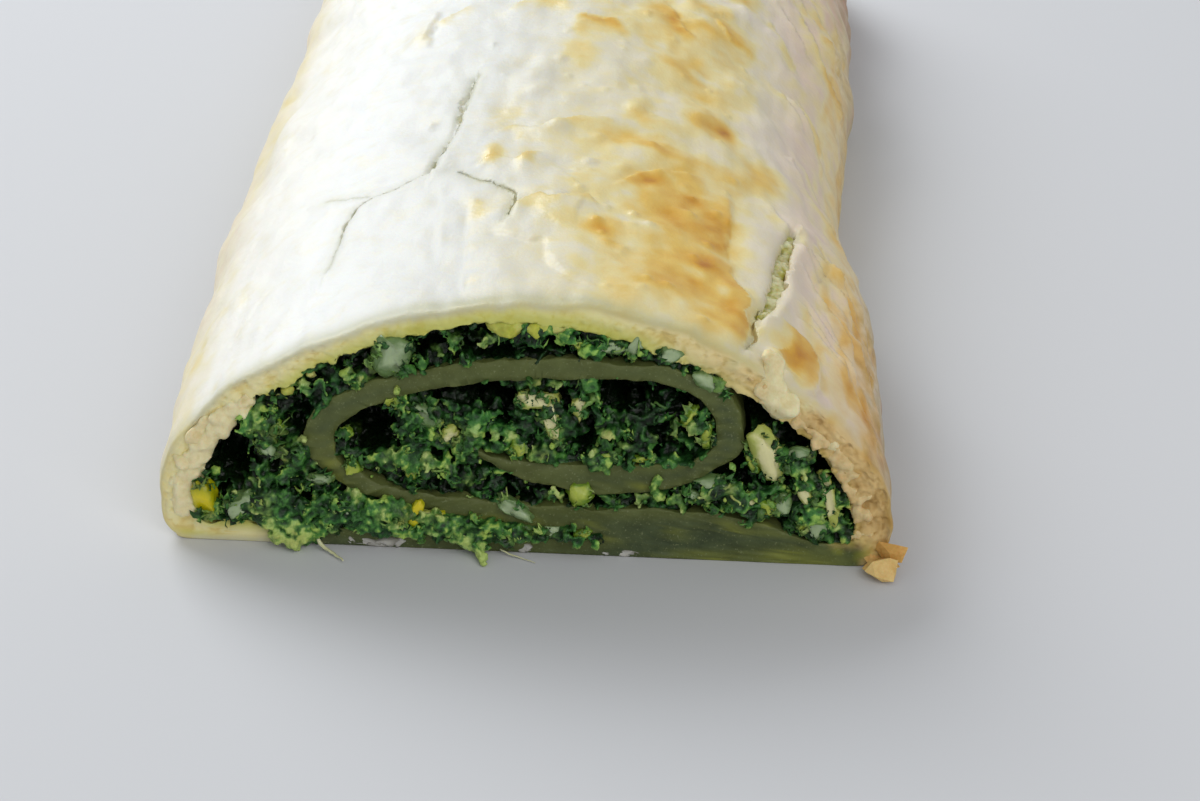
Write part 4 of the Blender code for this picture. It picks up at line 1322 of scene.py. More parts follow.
# Pale stalks that hang over the lower edge: routes of (x, in front of the cut, z), in mm, with a thickness
PALE_STALKS = {
    "fallen_stalk": (
        [(-28.2, 0.9, 2.4), (-27.2, 1.6, 0.9), (-26.0, 2.4, 0.5), (-24.6, 3.6, 0.45), (-23.8, 4.6, 0.5)],
        0.62,
    ),
    "fallen_thread": ([(-2.8, 0.7, 0.9), (-1.0, 1.4, 0.4), (0.9, 2.0, 0.25), (2.2, 2.6, 0.2)], 0.26),
}
# The form of a chopped piece: how square it is, and half its width before it is scaled
PIECE_SQUARENESS = 3.4
PIECE_HALF = 0.54
# No leaf lies over this much of the middle of a chopped piece
PIECE_CLEAR = 0.36
# How much lighter the bits are painted on their crests and edges, and darker off them
PAINTED_CREST_LIGHT = 0.5
CORE_STEP = 1.0 * MM
MAT_STEP = 0.33 * MM
MAT_VOXEL = 0.29 * MM
MAT_THICKNESS = 2.6 * MM
MAT_SHADE = 0.14
# The matted spinach is three pieces side by side, which start and end at these places in x and overlap by
# a little, in mm
MATTED_SPINACH = {"left_spinach": (-50, -14), "middle_spinach": (-14, 14), "right_spinach": (14, 50)}
MAT_OVERLAP = 0.6


def places_in(drawn, count, loop, margin):
    """Random places (x, z) inside an outline, this far from its edge."""
    low, high = loop.min(axis=0), loop.max(axis=0)
    found = []
    while len(found) < count:
        tries = [(drawn.uniform(low[0], high[0]), drawn.uniform(low[1], high[1])) for _ in range(count * 2)]
        tries = np.array(tries)
        good = inside_loop(tries, loop) & (distance_to_loop(tries, loop) > margin)
        found += [tuple(point) for point in tries[good]]
    return np.array(found[:count])


def small_hollows():
    """Many little hollows between the bits, seeded."""
    drawn = random.Random(SEED + 2)
    places = places_in(drawn, SMALL_HOLLOWS, CHANNEL_LOOP, 0.8 * MM) / MM
    ranges = ((0.6, 1.9), (0.5, 1.2), (2.0, 5.0))
    return [(x, z, *[drawn.uniform(*limits) for limits in ranges]) for x, z in places]


ALL_HOLLOWS = HOLLOWS + small_hollows()


def heap_depths(flat):
    """How far behind the cut the spinach lies at these places (x, z), and how much of that is a hollow."""
    points = np.stack([flat[:, 0], np.zeros(len(flat)), flat[:, 1]], axis=1)
    ragged = 0.4 * noise_field(points, 1.3 * MM, 30.0)
    hollow = np.zeros(len(flat))
    for x, z, across, up, depth in ALL_HOLLOWS:
        off = np.hypot((flat[:, 0] / MM - x) / across, (flat[:, 1] / MM - z) / up) + ragged
        hollow = np.maximum(hollow, depth * (1 - smooth_step(0.65, 1.15, off)))
    clumps = 2.0 * noise_field(points, 4.2 * MM, 0.0) + 0.9 * noise_field(points, 1.7 * MM, 4.0)
    return np.maximum(0.5 + clumps + hollow, -0.6) * MM, hollow * MM


def spinach_tone_and_shade(points):
    """How much lighter the spinach is at each point: uneven at random, with painted shade deep behind the cut
    and a painted shadow under the crust.
    """
    behind = (points[:, 1] - CUT_Y) / MM
    painted_crust_shadow = smooth_step(28 * MM, 30.5 * MM, points[:, 2])
    uneven = 0.34 * noise_field(points, 4.5 * MM, 50.0)
    # Painted shade, darker the deeper behind the cut, and a painted shadow under the crust
    return uneven + 0.04 - 0.13 * np.clip(behind, 0, 4) - 0.16 * painted_crust_shadow


def clear_of_pieces(placed):
    """The placed bits that don't lie across the middle of a chopped piece."""
    kept = []
    for bit in placed:
        place = bit[1].translation / MM
        hidden = False
        for x, z, forward, width, height, depth, turn in ALL_CHOPPED:
            lean = math.radians(turn)
            across = ((place.x - x) * math.cos(lean) + (place.z - z) * math.sin(lean)) / width
            up = ((place.z - z) * math.cos(lean) - (place.x - x) * math.sin(lean)) / height
            in_front = place.y < CUT_Y / MM + 0.5 * depth - forward
            hidden = hidden or (math.hypot(across, up) < PIECE_CLEAR and in_front)
        if not hidden:
            kept.append(bit)
    return kept


def folds(points, wave, shift):
    """Thin folds of about this wave: 1 along their crests, and 0 in the hollows between them."""
    return np.clip(1 - 2.4 * np.abs(noise_field(points, wave, shift)), 0, 1) ** 1.5


def leaf_folds(points):
    """The folds of matted leaf: how far each point of the spinach's front stands out, 0 to 1."""
    warped = points + np.array([tuple(noise.noise_vector(point)) for point in points / (3 * MM)]) * 1.2 * MM
    return 0.6 * folds(warped, 2.6 * MM, 3.0) + 0.4 * folds(warped, 1.1 * MM, 6.0)


def spinach_block(step, mat, start=-WIDEST, end=WIDEST):
    """A block in the outline of the filling, from start to end in x, with its uneven front.

    It is a thin folded mat, or reaches plainly to the far end of the filling.
    """
    bm = bmesh.new()
    bmesh.ops.create_grid(bm, x_segments=int(2 * WIDEST / step), y_segments=int(CREST / step), size=1.0)
    for vert in bm.verts:
        vert.co = (vert.co.x * WIDEST, CUT_Y, (vert.co.y + 1) / 2 * CREST)
    middles = np.array([face.calc_center_median() for face in bm.faces])[:, [0, 2]]
    wanted = inside_loop(middles, CHANNEL_LOOP) | (distance_to_loop(middles, CHANNEL_LOOP) < 0.45 * MM)
    wanted &= (middles[:, 0] > start) & (middles[:, 0] < end)
    bmesh.ops.delete(bm, geom=[face for face, keep in zip(bm.faces, wanted) if not keep], context="FACES")
    crest_light = bm.verts.layers.float.new("crest_light")
    made = bmesh.ops.extrude_face_region(bm, geom=bm.faces[:])
    rear = {part for part in made["geom"] if isinstance(part, bmesh.types.BMVert)}
    places = np.array([tuple(vert.co) for vert in bm.verts])
    depths, _ = heap_depths(places[:, [0, 2]])
    crests = leaf_folds(places)
    room = smooth_step(0.2 * MM, 1.2 * MM, distance_to_loop(places[:, [0, 2]], CHANNEL_LOOP))
    for vert, depth, crest, free in zip(bm.verts, depths, crests, room):
        # Painted light on the crests of the folds
        vert[crest_light] = crest
        if not mat:
            vert.co.y = CHANNEL_END - 0.5 * MM if vert in rear else CUT_Y + depth + 1.8 * MM
        elif vert in rear:
            vert.co.y = CUT_Y + depth + MAT_THICKNESS
        else:
            sideways = noise.noise_vector(vert.co / (1.4 * MM)) * 0.9 * MM * free
            vert.co.y = CUT_Y + depth + (1.7 - 2.6 * crest) * MM
            vert.co += sideways
    if not mat:
        cut_into_rings(bm, FAR_RINGS)
        for vert in bm.verts:
            vert.co.x = float(waisted(vert.co.x, vert.co.y - CUT_Y))
    block = mesh_from(bm, "spinach_block")
    return block if mat else in_order(block)


def leaf_scrap(drawn, cells, folds, thickness):
    """A small crumpled scrap of cooked leaf with a ragged, frilled edge, about 1 across.

    Its stored value for painted light is 1 at the edge and on the crests of its folds.
    """
    bm = bmesh.new()
    crest_light = bm.verts.layers.float.new("crest_light")
    bmesh.ops.create_grid(bm, x_segments=cells, y_segments=cells, size=0.5)
    shift = Vector([drawn.uniform(0, 50) for _ in range(3)])
    middles = [(face, face.calc_center_median()) for face in bm.faces]
    torn = [face for face, place in middles if place.length * 1.5 + noise.noise(place * 3.1 + shift) > 0.72]
    if len(torn) < len(bm.faces) - 3:
        bmesh.ops.delete(bm, geom=torn, context="FACES")
    bend, frills, start = drawn.uniform(0.3, 1.5), drawn.randint(4, 7), drawn.uniform(0, math.tau)
    for vert in bm.verts:
        place = vert.co.copy()
        fold = noise.noise(place * 2.2 + shift) + 0.7 * abs(noise.noise(place * 4.6 + shift))
        frill = 0.8 * place.length_squared * math.sin(frills * math.atan2(place.y, place.x) + start)
        # Painted light at the frilled edge and on the crests of the folds
        vert[crest_light] = min(max(2.6 * place.length_squared + 0.7 * fold, 0.0), 1.0)
        vert.co *= 1 + 0.6 * noise.noise(place * 2 + shift)
        vert.co.z = folds * fold + frill - bend * place.y**2
        vert.co += noise.noise_vector(place * 3.7 + shift) * 0.16
    bmesh.ops.solidify(bm, geom=bm.faces[:], thickness=thickness)
    return in_order(mesh_from(bm, "scrap"))


def wad_shape(drawn):
    """A crumpled wad of cooked leaf, about 1 across, with thin crests and deep hollows."""
    bm = bmesh.new()
    bmesh.ops.create_icosphere(bm, subdivisions=3, radius=0.5)
    crest_light = bm.verts.layers.float.new("crest_light")
    shift = Vector([drawn.uniform(0, 50) for _ in range(3)])
    for vert in bm.verts:
        place = vert.co + noise.noise_vector(vert.co * 3 + shift) * 0.2
        large = max(0.0, 1 - 2.4 * abs(noise.noise(place * 2.6 + shift)))
        small = max(0.0, 1 - 2.4 * abs(noise.noise(place * 5.5 + shift)))
        # Painted light on the crests of the wad
        vert[crest_light] = min(0.55 * large + 0.55 * small, 1.0)
        vert.co = place * (0.45 + 0.55 * large**1.5 + 0.3 * small**1.5)
        vert.co.z *= 0.7
    return mesh_from(bm, "wad")


def crumb_shape(drawn, subdivisions=1):
    """An uneven crumb, about 1 across."""
    bm = bmesh.new()
    bmesh.ops.create_icosphere(bm, subdivisions=subdivisions, radius=0.5)
    crest_light = bm.verts.layers.float.new("crest_light")
    shift = Vector([drawn.uniform(0, 50) for _ in range(3)])
    for vert in bm.verts:
        swelling = noise.noise(vert.co * 2.6 + shift)
        # Painted light where the crumb swells out
        vert[crest_light] = min(max(0.5 + swelling, 0.0), 1.0)
        vert.co *= 1 + 0.9 * swelling
    return mesh_from(bm, "crumb")


def strand_shape(drawn, thickness, rings=7, sides=6):
    """A bent stalk or shred, 1 long."""
    bm = bmesh.new()
    crest_light = bm.verts.layers.float.new("crest_light")
    thick, thin = 0.6 * thickness, 0.4 * thickness
    bmesh.ops.create_cone(bm, cap_ends=True, segments=sides, radius1=thick, radius2=thin, depth=1.0)
    for ring in range(1, rings):
        everything = bm.verts[:] + bm.edges[:] + bm.faces[:]
        place = (0, 0, ring / rings - 0.5)
        bmesh.ops.bisect_plane(bm, geom=everything, dist=1e-6, plane_co=place, plane_no=(0, 0, 1))
    shift = Vector([drawn.uniform(0, 50) for _ in range(3)])
    bend = drawn.uniform(0.2, 0.9)
    for vert in bm.verts:
        vert[crest_light] = 0.6
        vert.co += noise.noise_vector(Vector((0, 0, vert.co.z * 2)) + shift) * 0.3
        vert.co.x += bend * vert.co.z**2
    return in_order(mesh_from(bm, "strand"))


def chopped_piece(drawn, place, size, turn, crushed=0.22):
    """A soft chopped piece with crushed corners, where it lies. Its stored rim value is 1 at its rim."""
    bm = bmesh.new()
    bmesh.ops.create_icosphere(bm, subdivisions=3, radius=1.0)
    rim = bm.verts.layers.float.new("rim")
    shift = Vector([drawn.uniform(0, 50) for _ in range(3)])
    for vert in bm.verts:
        round_size = sum(abs(part) ** PIECE_SQUARENESS for part in vert.co) ** (1 / PIECE_SQUARENESS)
        box = vert.co * PIECE_HALF / round_size
        vert[rim] = min(max(4 * (box.x**2 + box.z**2) - 0.25, 0.0), 1.0)
        vert.co = box
        for wave, dent in ((1.9, crushed), (4.5, 0.11), (10, 0.03)):
            vert.co += noise.noise_vector(box * wave + shift) * dent
    turned = Euler((drawn.uniform(-0.3, 0.3), -math.radians(turn), drawn.uniform(-0.3, 0.3)))
    bm.transform(Matrix.Translation(place) @ turned.to_matrix().to_4x4() @ Matrix.Diagonal((*size, 1)))
    return mesh_from(bm, "piece")


def joined(meshes):
    """One mesh made of several."""
    bm = bmesh.new()
    for mesh in meshes:
        bm.from_mesh(mesh)
        bpy.data.meshes.remove(mesh)
    bmesh.ops.recalc_face_normals(bm, faces=bm.faces)
    return mesh_as_is(bm, "joined")


def chopped_pieces(name, pieces, material, crushed=0.22):
    """The larger chopped pieces of one kind."""
    drawn = random.Random(f"{SEED} {name}")
    meshes = []
    for x, z, forward, width, height, depth, turn in pieces:
        place = Vector((x * MM, CUT_Y - (forward - depth * 0.35 - 0.2) * MM, z * MM))
        meshes.append(chopped_piece(drawn, place, (width * MM, depth * MM, height * MM), turn, crushed))
    add_piece(name, lifted_to_floor(joined(meshes)), material)


def shred(name, route, thickness):
    """A bent, tapered, uneven shred along a route."""
    curve = bpy.data.curves.new(name, "CURVE")
    curve.dimensions = "3D"
    curve.bevel_depth = thickness / 2 * MM
    curve.bevel_resolution = 3
    curve.resolution_u = 8
    curve.use_fill_caps = True
    spline = curve.splines.new("NURBS")
    spline.points.add(len(route) - 1)
    spline.use_endpoint_u = True
    spline.order_u = 3
    for number, (point, (x, forward, z)) in enumerate(zip(spline.points, route)):
        point.co = (x * MM, CUT_Y - forward * MM, z * MM, 1)
        point.radius = between(1.0, 0.35, number / (len(route) - 1))
    holder = bpy.data.objects.new(name, curve)
    tube = finished_mesh(holder)
    bm = bmesh.new()
    bm.from_mesh(tube)
    bmesh.ops.remove_doubles(bm, verts=bm.verts, dist=1e-7)
    for vert in bm.verts:
        vert.co += noise.noise_vector(vert.co / (0.8 * MM)) * 0.25 * thickness * MM
        vert.co.z = max(vert.co.z, ABOVE_FLOOR)
    return mesh_from(bm, name)


def scattered(placed):
    """One mesh of copies of shapes, given as (shape, matrix, shade, pale), with painted light on their crests
    and edges.
    """
    bm = bmesh.new()
    shades, pales = [], []
    for shape, matrix, shade, pale in placed:
        copy = shape.copy()
        copy.transform(matrix)
        bm.from_mesh(copy)
        ridges = read_values(copy, "crest_light")
        # Painted light on the crests and edges of each copy, and painted shade off them
        shades.append(shade + PAINTED_CREST_LIGHT * (ridges - 0.4))
        pales.append(np.full(len(ridges), pale))
        bpy.data.meshes.remove(copy)
    bmesh.ops.recalc_face_normals(bm, faces=bm.faces)
    mesh = mesh_as_is(bm, "scattered")
    set_values(mesh, "shade", np.concatenate(shades))
    set_values(mesh, "pale", np.concatenate(pales))
    return mesh


def evened(mesh, values, rounds):
    """Values of a mesh's points, evened out over their neighbours."""
    pairs = np.empty(len(mesh.edges) * 2, dtype=np.int32)
    mesh.edges.foreach_get("vertices", pairs)
    others = pairs.reshape(-1, 2)[:, ::-1].ravel()
    count = np.maximum(np.bincount(pairs, minlength=len(values)), 1)
    for _ in range(rounds):
        around = [np.bincount(pairs, weights=part[others], minlength=len(values)) for part in values.T]
        values = (values + np.stack(around, axis=1) / count[:, None]) / 2
    return values


def melted(raw, voxel, wrinkle, softened=0, tone=None):
    """The overlapping bits of a mesh melted into one soft, wrinkled surface, with painted light on its crests
    and painted shade in its creases.

    The tone is how much lighter it is at each of its points; for the spinach it also holds painted shade.
    """
    holder = bpy.data.objects.new("raw", raw)
    modifier = holder.modifiers.new("melt", "REMESH")
    modifier.mode = "VOXEL"
    modifier.voxel_size = voxel
    bits = coordinates(raw)
    kept = np.stack([read_values(raw, "shade"), read_values(raw, "pale")], axis=1)
    mesh = finished_mesh(holder)
    places = coordinates(mesh)
    nearest = KDTree(len(bits))
    for number, bit in enumerate(bits):
        nearest.insert(bit, number)
    nearest.balance()
    values = evened(mesh, kept[[nearest.find(place)[1] for place in places]], 2)
    places = evened(mesh, places, softened)
    normals = np.empty(len(places) * 3)
    mesh.vertex_normals.foreach_get("vector", normals)
    normals = normals.reshape(-1, 3)
    # How far each point stands out from its neighbours, which sets painted light on the crests and painted
    # shade in the creases
    crest = np.sum((places - evened(mesh, places, 6)) * normals, axis=1) / (0.16 * MM)
    places += normals * ((folds(places, 0.9 * MM, 40.0) - 0.3) * wrinkle)[:, None]
    mesh.vertices.foreach_set("co", places.ravel())
    # Painted light and shade: lighter on the crests and darker in the creases, plus the tone
    lighter = 0.34 * np.clip(crest, -1.2, 1.2) + (0.0 if tone is None else tone(places))
    set_values(mesh, "shade", values[:, 0] + lighter)
    set_values(mesh, "pale", values[:, 1])
    bpy.data.meshes.remove(raw)
    return mesh


def random_turn(drawn):
    """A turn in any direction."""
    return Euler([drawn.uniform(0, math.tau) for _ in range(3)]).to_matrix().to_4x4()


def facing_turn(drawn, looseness):
    """A turn that lays a scrap's face roughly towards the open front, and spins it."""
    face = Vector((drawn.gauss(0, looseness), -1, drawn.gauss(0.25, looseness)))
    spin = Matrix.Rotation(drawn.uniform(0, math.tau), 4, "Z")
    return face.to_track_quat("Z", "Y").to_matrix().to_4x4() @ spin


def strewn(name, shapes, count, sizes, depths, shades, margin=0.4, looseness=None, over=None, pale=0.0):
    """Bits strewn over the front of the spinach, or over another outline in front of the cut.

    Sizes, depths and the margin are in mm. Bits deeper behind the cut are darkened with painted shade, and
    few lie in the hollows.
    """
    drawn = random.Random(f"{SEED} {name}")
    flat = places_in(drawn, count, CHANNEL_LOOP if over is None else over, margin * MM)
    heap, hollow = heap_depths(flat) if over is None else (np.zeros(count), np.zeros(count))
    placed = []
    for (x, z), behind, deep in zip(flat, heap, hollow):
        size = drawn.triangular(sizes[0], sizes[1], sizes[0]) * MM
        y = behind + drawn.uniform(*depths) * MM
        turn = random_turn(drawn) if looseness is None else facing_turn(drawn, looseness)
        # Painted shade: the deeper the bit lies, the darker it is
        shade = drawn.uniform(*shades) - 0.10 * y / MM
        matrix = Matrix.Translation((x, CUT_Y + y, z)) @ turn @ Matrix.Diagonal((size, size, size, 1))
        if deep < 1.4 * MM or drawn.random() < 0.1:
            placed.append((drawn.choice(shapes), matrix, shade, pale))
    return placed


def nestled(name, pieces, shapes):
    """Scraps of leaf round the edges of chopped pieces, partly over them."""
    placed = []
    for x, z, forward, width, height, _, turn in pieces:
        drawn = random.Random(f"{SEED} {name} {x}")
        lean = Matrix.Rotation(math.radians(turn), 2)
        for _ in range(round(1.5 * (width + height))):
            angle, out = drawn.uniform(0, math.tau), drawn.uniform(0.40, 0.62)
            off = Vector((width * math.cos(angle), height * math.sin(angle))) * out
            flat = Vector((x, z)) + lean @ off
            behind = drawn.uniform(-0.2, 0.8) - forward
            size = drawn.uniform(0.8, 2.2) * MM
            place = Matrix.Translation((flat.x * MM, CUT_Y + behind * MM, flat.y * MM))
            matrix = place @ facing_turn(drawn, 1.1) @ Matrix.Diagonal((size, size, size, 1))
            if inside_loop(np.array([flat]) * MM, CHANNEL_LOOP)[0]:
                shape, shade = drawn.choice(shapes), drawn.uniform(0.15, 0.7)
                placed.append((shape, matrix, shade, drawn.choice((0.0, 0.0, 0.6))))
    return placed


def hanging_lumps(wads):
    """The lumps of leaf that hang over the lower edge and the turns of dough."""
    drawn = random.Random(SEED + 4)
    placed = []
    for x, z, forward, size, light in HANGING:
        place = Vector((x * MM, CUT_Y - forward * MM, z * MM))
        scale = Matrix.Diagonal((size * MM, size * MM, size * MM, 1))
        shape = drawn.choice(wads)
        placed.append((shape, Matrix.Translation(place) @ random_turn(drawn) @ scale, light, 0.4 * light))
    return placed


def make_filling():
    """Wet chopped spinach between the turns of dough, with chopped onion, cheese and other bits in it."""
    drawn = random.Random(SEED)
    thick_leaves = [leaf_scrap(drawn, 6, 0.5, 0.16) for _ in range(20)]
    thick_scraps = [leaf_scrap(drawn, 4, 0.5, 0.20) for _ in range(20)]
    thin_scraps = [leaf_scrap(drawn, 5, 0.55, 0.09) for _ in range(16)]
    crumbs = [crumb_shape(drawn) for _ in range(10)]
    thick_strands = [strand_shape(drawn, 0.26) for _ in range(8)]
    strands = [strand_shape(drawn, 0.14) for _ in range(8)]
    wads = [wad_shape(drawn) for _ in range(12)]
    overflow = np.array(OVERFLOW) * MM
    leaf = leaf_material()

    core = add_piece("spinach_core", spinach_block(CORE_STEP, False), leaf)
    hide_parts("filling")
    body = strewn("wads", wads, 120, (2.2, 4.6), (0.0, 1.4), (0.05, 0.5), 1.2, 0.6)
    body += strewn("leaves", thick_leaves, 380, (2.2, 5.0), (-0.4, 1.2), (0.0, 0.5), 0.8, 0.7)
    body += strewn("scraps", thick_scraps, 420, (1.4, 2.8), (-0.6, 0.9), (0.0, 0.7), 0.6, 1.1)
    body += strewn("crumbs", crumbs, 120, (0.8, 1.7), (-0.6, 0.6), (0.1, 0.9), 0.4)
    body += strewn("pale crumbs", crumbs, 70, (0.8, 2.0), (-0.4, 0.4), (0.2, 0.9), 0.6, pale=0.9)
    body += strewn("pale scraps", thick_scraps, 80, (1.2, 2.6), (-0.5, 0.3), (0.1, 0.8), 0.6, 1.0, pale=0.7)
    body += strewn("stalks", thick_strands, 90, (1.8, 4.2), (-0.5, 0.4), (0.2, 0.9), 0.8, 0.9, pale=0.6)
    body += strewn("slid wads", wads, 34, (2.2, 3.6), (-0.7, 0.3), (-0.1, 0.4), 0.8, 0.6, overflow)
    body += strewn("slid leaves", thick_leaves, 90, (2.0, 4.2), (-1.2, -0.1), (-0.2, 0.4), 0.4, 0.8, overflow)
    body += strewn("slid scraps", thick_scraps, 90, (1.2, 2.6), (-1.5, -0.1), (-0.1, 0.6), 0.3, 1.1, overflow)
    body += strewn("slid pale bits", thick_scraps, 30, (1.2, 2.6), (-1.6, -0.3), (0.0, 0.7), 0.3, 1.0,
                   overflow, 0.6)
    body = clear_of_pieces(body) + hanging_lumps(wads)
    for name, (start, end) in MATTED_SPINACH.items():
        mat = spinach_block(MAT_STEP, True, (start - MAT_OVERLAP) * MM, (end + MAT_OVERLAP) * MM)
        bits = [bit for bit in body if start <= bit[1].translation.x / MM < end]
        part = scattered([(mat, Matrix(), MAT_SHADE, 0.0)] + bits)
        part = melted(part, MAT_VOXEL, 0.20 * MM, 0, spinach_tone_and_shade)
        add_piece(name, lifted_to_floor(part), leaf)

    loose = strewn("loose scraps", thin_scraps, 300, (0.9, 2.4), (-0.9, 0.5), (0.2, 0.8), 0.4, 1.1)
    loose += strewn("loose crumbs", crumbs, 220, (0.35, 0.9), (-0.9, 0.4), (0.3, 1.0), 0.3)
    loose += strewn("loose shreds", strands, 90, (1.2, 3.0), (-0.8, 0.3), (0.2, 0.8), 0.6, 0.9, pale=0.5)
    loose += strewn("loose slid scraps", thin_scraps, 60, (0.9, 2.2), (-1.7, -0.3), (0.1, 0.8), 0.3, 1.1,
                    overflow, 0.2)
    loose = clear_of_pieces(loose) + nestled("nestled scraps", ALL_CHOPPED, thin_scraps)
    add_piece("loose_spinach", lifted_to_floor(scattered(loose)), leaf)

    onion = soft_food_material("soft_onion", (0.13, 0.22, 0.07), (0.36, 0.46, 0.26), 0.3, 0.35)
    cheese = soft_food_material("crumbled_cheese", (0.40, 0.45, 0.09), (0.72, 0.69, 0.36), 0.45, 0.25)
    yellow = soft_food_material("yellow_pepper", (0.40, 0.40, 0.004), (0.66, 0.56, 0.004), 0.30, 0.15)
    lime = soft_food_material("green_stalk", (0.16, 0.28, 0.02), (0.42, 0.50, 0.07), 0.30, 0.30)
    chopped_pieces("chopped_onion", ONION, onion, crushed=0.3)
    chopped_pieces("cheese_bits", CHEESE, cheese, crushed=0.3)
    chopped_pieces("yellow_bits", YELLOW, yellow, crushed=0.16)
    chopped_pieces("green_stalk_bits", LIME, lime, crushed=0.32)
    stalks = joined([shred(name, *route) for name, route in PALE_STALKS.items()])
    pale = soft_food_material("pale_stalk", (0.40, 0.44, 0.20), (0.62, 0.62, 0.36), 0.3, 0.2)
    add_piece("fallen_stalks", stalks, pale)


# ---------------------------------------------------------------- crumbs and flakes of dough

CUT_CRUMBS = 190
CRUMB_VOXEL = 0.30 * MM
# Flakes of crust by the right foot, in mm and degrees: place (x, z), how far in front of the cut, size, two
# turns, and how pale
FOOT_FLAKES = [
    (49.8, 1.9, 3.2, 4.6, 52, 12, 0.9),
    (48.4, 1.2, 2.0, 3.2, 20, -30, 0.6),
    (50.4, 3.2, 1.0, 4.4, 64, -24, 0.1),
    (50.0, 1.3, 0.8, 4.0, 12, -50, 0.3),
    (48.8, 1.6, -0.2, 3.4, 60, 10, 0.4),
]
# Lumps of torn dough on the inner edge of the crust, in mm: place (x, z), how far in front of the cut,
# size; and how pale
TORN_LUMPS = [
    (32.6, 30.9, -0.9, 2.2, 0.9),
    (33.1, 30.0, -0.5, 2.6, 0.9),
    (33.4, 28.8, -0.1, 2.7, 1.0),
    (33.6, 27.6, 0.3, 2.6, 1.0),
    (33.8, 26.4, 0.6, 2.7, 1.0),
    (34.0, 25.2, 0.8, 3.2, 1.0),
    (34.2, 24.0, 0.8, 3.4, 1.0),
    (31.4, 26.8, 0.2, 2.2, 0.7),
    (41.8, 18.8, 0.3, 2.2, 0.8),
    (-45.4, 12.4, 0.5, 3.4, 0.9),
    (-46.8, 9.4, 0.4, 3.0, 0.9),
    (-44.0, 15.6, 0.4, 3.0, 0.8),
    (-42.0, 18.2, 0.3, 2.4, 0.8),
]
# Lumps of dough, green with juice, at the upper inner edge of the crust, given as the torn lumps are
JUICY_LUMPS = [
    (-4.2, 34.9, 0.0, 1.8, 0.1),
    (-2.8, 34.6, 0.2, 2.3, 0.1),
    (-1.4, 34.5, 0.2, 2.3, 0.0),
    (0.0, 34.9, 0.0, 1.8, 0.2),
    (1.5, 34.9, 0.1, 2.0, 0.0),
    (3.0, 34.8, 0.1, 1.9, 0.1),
    (4.6, 34.8, 0.0, 1.7, 0.3),
    (6.0, 34.5, 0.1, 1.7, 0.3),
    (-31.2, 23.6, 0.1, 1.8, 0.1),
    (-28.2, 26.4, 0.0, 1.6, 0.3),
]
# Pale patches of flour and dough at the lower edge, as chopped pieces are given
FLOURY = [
    (-21.4, 0.8, 0.2, 4.4, 1.2, 1.1, -4),
    (-18.8, 0.7, 0.3, 3.4, 1.3, 1.1, 12),
    (-16.6, 1.0, 0.2, 2.0, 1.3, 1.0, 40),
    (-23.2, 0.9, 0.2, 1.6, 0.8, 1.0, -30),
    (0.4, 0.7, 0.2, 2.4, 1.3, 1.0, 20),
    (14.2, 0.6, 0.1, 3.4, 1.0, 0.9, 4),
    (11.6, 0.8, 0.1, 1.8, 1.0, 0.8, -20),
]


def crumbs_on_cut(crumbs):
    """Dry crumbs on the cut crust near its two feet, paler on the left."""
    drawn = random.Random(f"{SEED} cut crumbs")
    placed = []
    while len(placed) < CUT_CRUMBS:
        x, z = ROOM_LOOP[drawn.randrange(len(ROOM_LOOP))]
        likely = smooth_step(34 * MM, 44 * MM, -x) + 0.5 * smooth_step(26 * MM, 46 * MM, x)
        if z < 4.5 * MM or drawn.random() > likely:
            continue
        place = Vector((x, 0, z))
        outward = (place - Vector((0, 0, 10 * MM))).normalized()
        place += outward * drawn.uniform(0.1, 2.4 if x < 0 else 2.6) * MM
        size = drawn.triangular(0.9, 3.0, 1.2) * (1.0 if x < 0 else 0.7) * MM
        place.y = CUT_Y + size * 0.2 + drawn.uniform(-0.1, 0.3) * MM
        matrix = Matrix.Translation(place) @ random_turn(drawn) @ Matrix.Diagonal((size, size, size, 1))
        pale = drawn.uniform(0.7, 1.0) if x < 0 else drawn.uniform(0.0, 0.4)
        placed.append((drawn.choice(crumbs), matrix, 0.6, pale))
    return placed


def soft_lumps(name, lumps, crumbs):
    """Larger soft lumps of dough at the inner edge of the crust."""
    drawn = random.Random(f"{SEED} {name}")
    placed = []
    for x, z, forward, size, pale in lumps:
        for _ in range(2):
            off = Vector([drawn.gauss(0, 0.12) * size * MM for _ in range(3)])
            place = Vector((x * MM, CUT_Y + (0.45 * size - forward) * MM, z * MM)) + off
            scale = Matrix.Diagonal((*[drawn.uniform(0.8, 1.1) * size * MM for _ in range(3)], 1))
            matrix = Matrix.Translation(place) @ random_turn(drawn) @ scale
            placed.append((drawn.choice(crumbs), matrix, 0.55, pale * drawn.uniform(0.8, 1.0)))
    return placed


def crumbs_along(name, route, count, sizes, depths, spread, crumbs, shades, pale):
    """Crumbs along a route on the crust, as (x, behind) in mm. Depths are below the crust, in mm."""
    drawn = random.Random(f"{SEED} {name}")
    placed = []
    for _ in range(count):
        leg = drawn.randrange(len(route) - 1)
        share = drawn.random()
        x = between(route[leg][0], route[leg + 1][0], share) + drawn.gauss(0, spread)
        behind = between(route[leg][1], route[leg + 1][1], share) + drawn.gauss(0, spread)
        size = drawn.uniform(*sizes) * MM
        place = Vector(on_crust(x, behind)) - Vector((0, 0, drawn.uniform(*depths) * MM))
        matrix = Matrix.Translation(place) @ random_turn(drawn) @ Matrix.Diagonal((size, size, size, 1))
        placed.append((drawn.choice(crumbs), matrix, drawn.uniform(*shades), pale))
    return placed


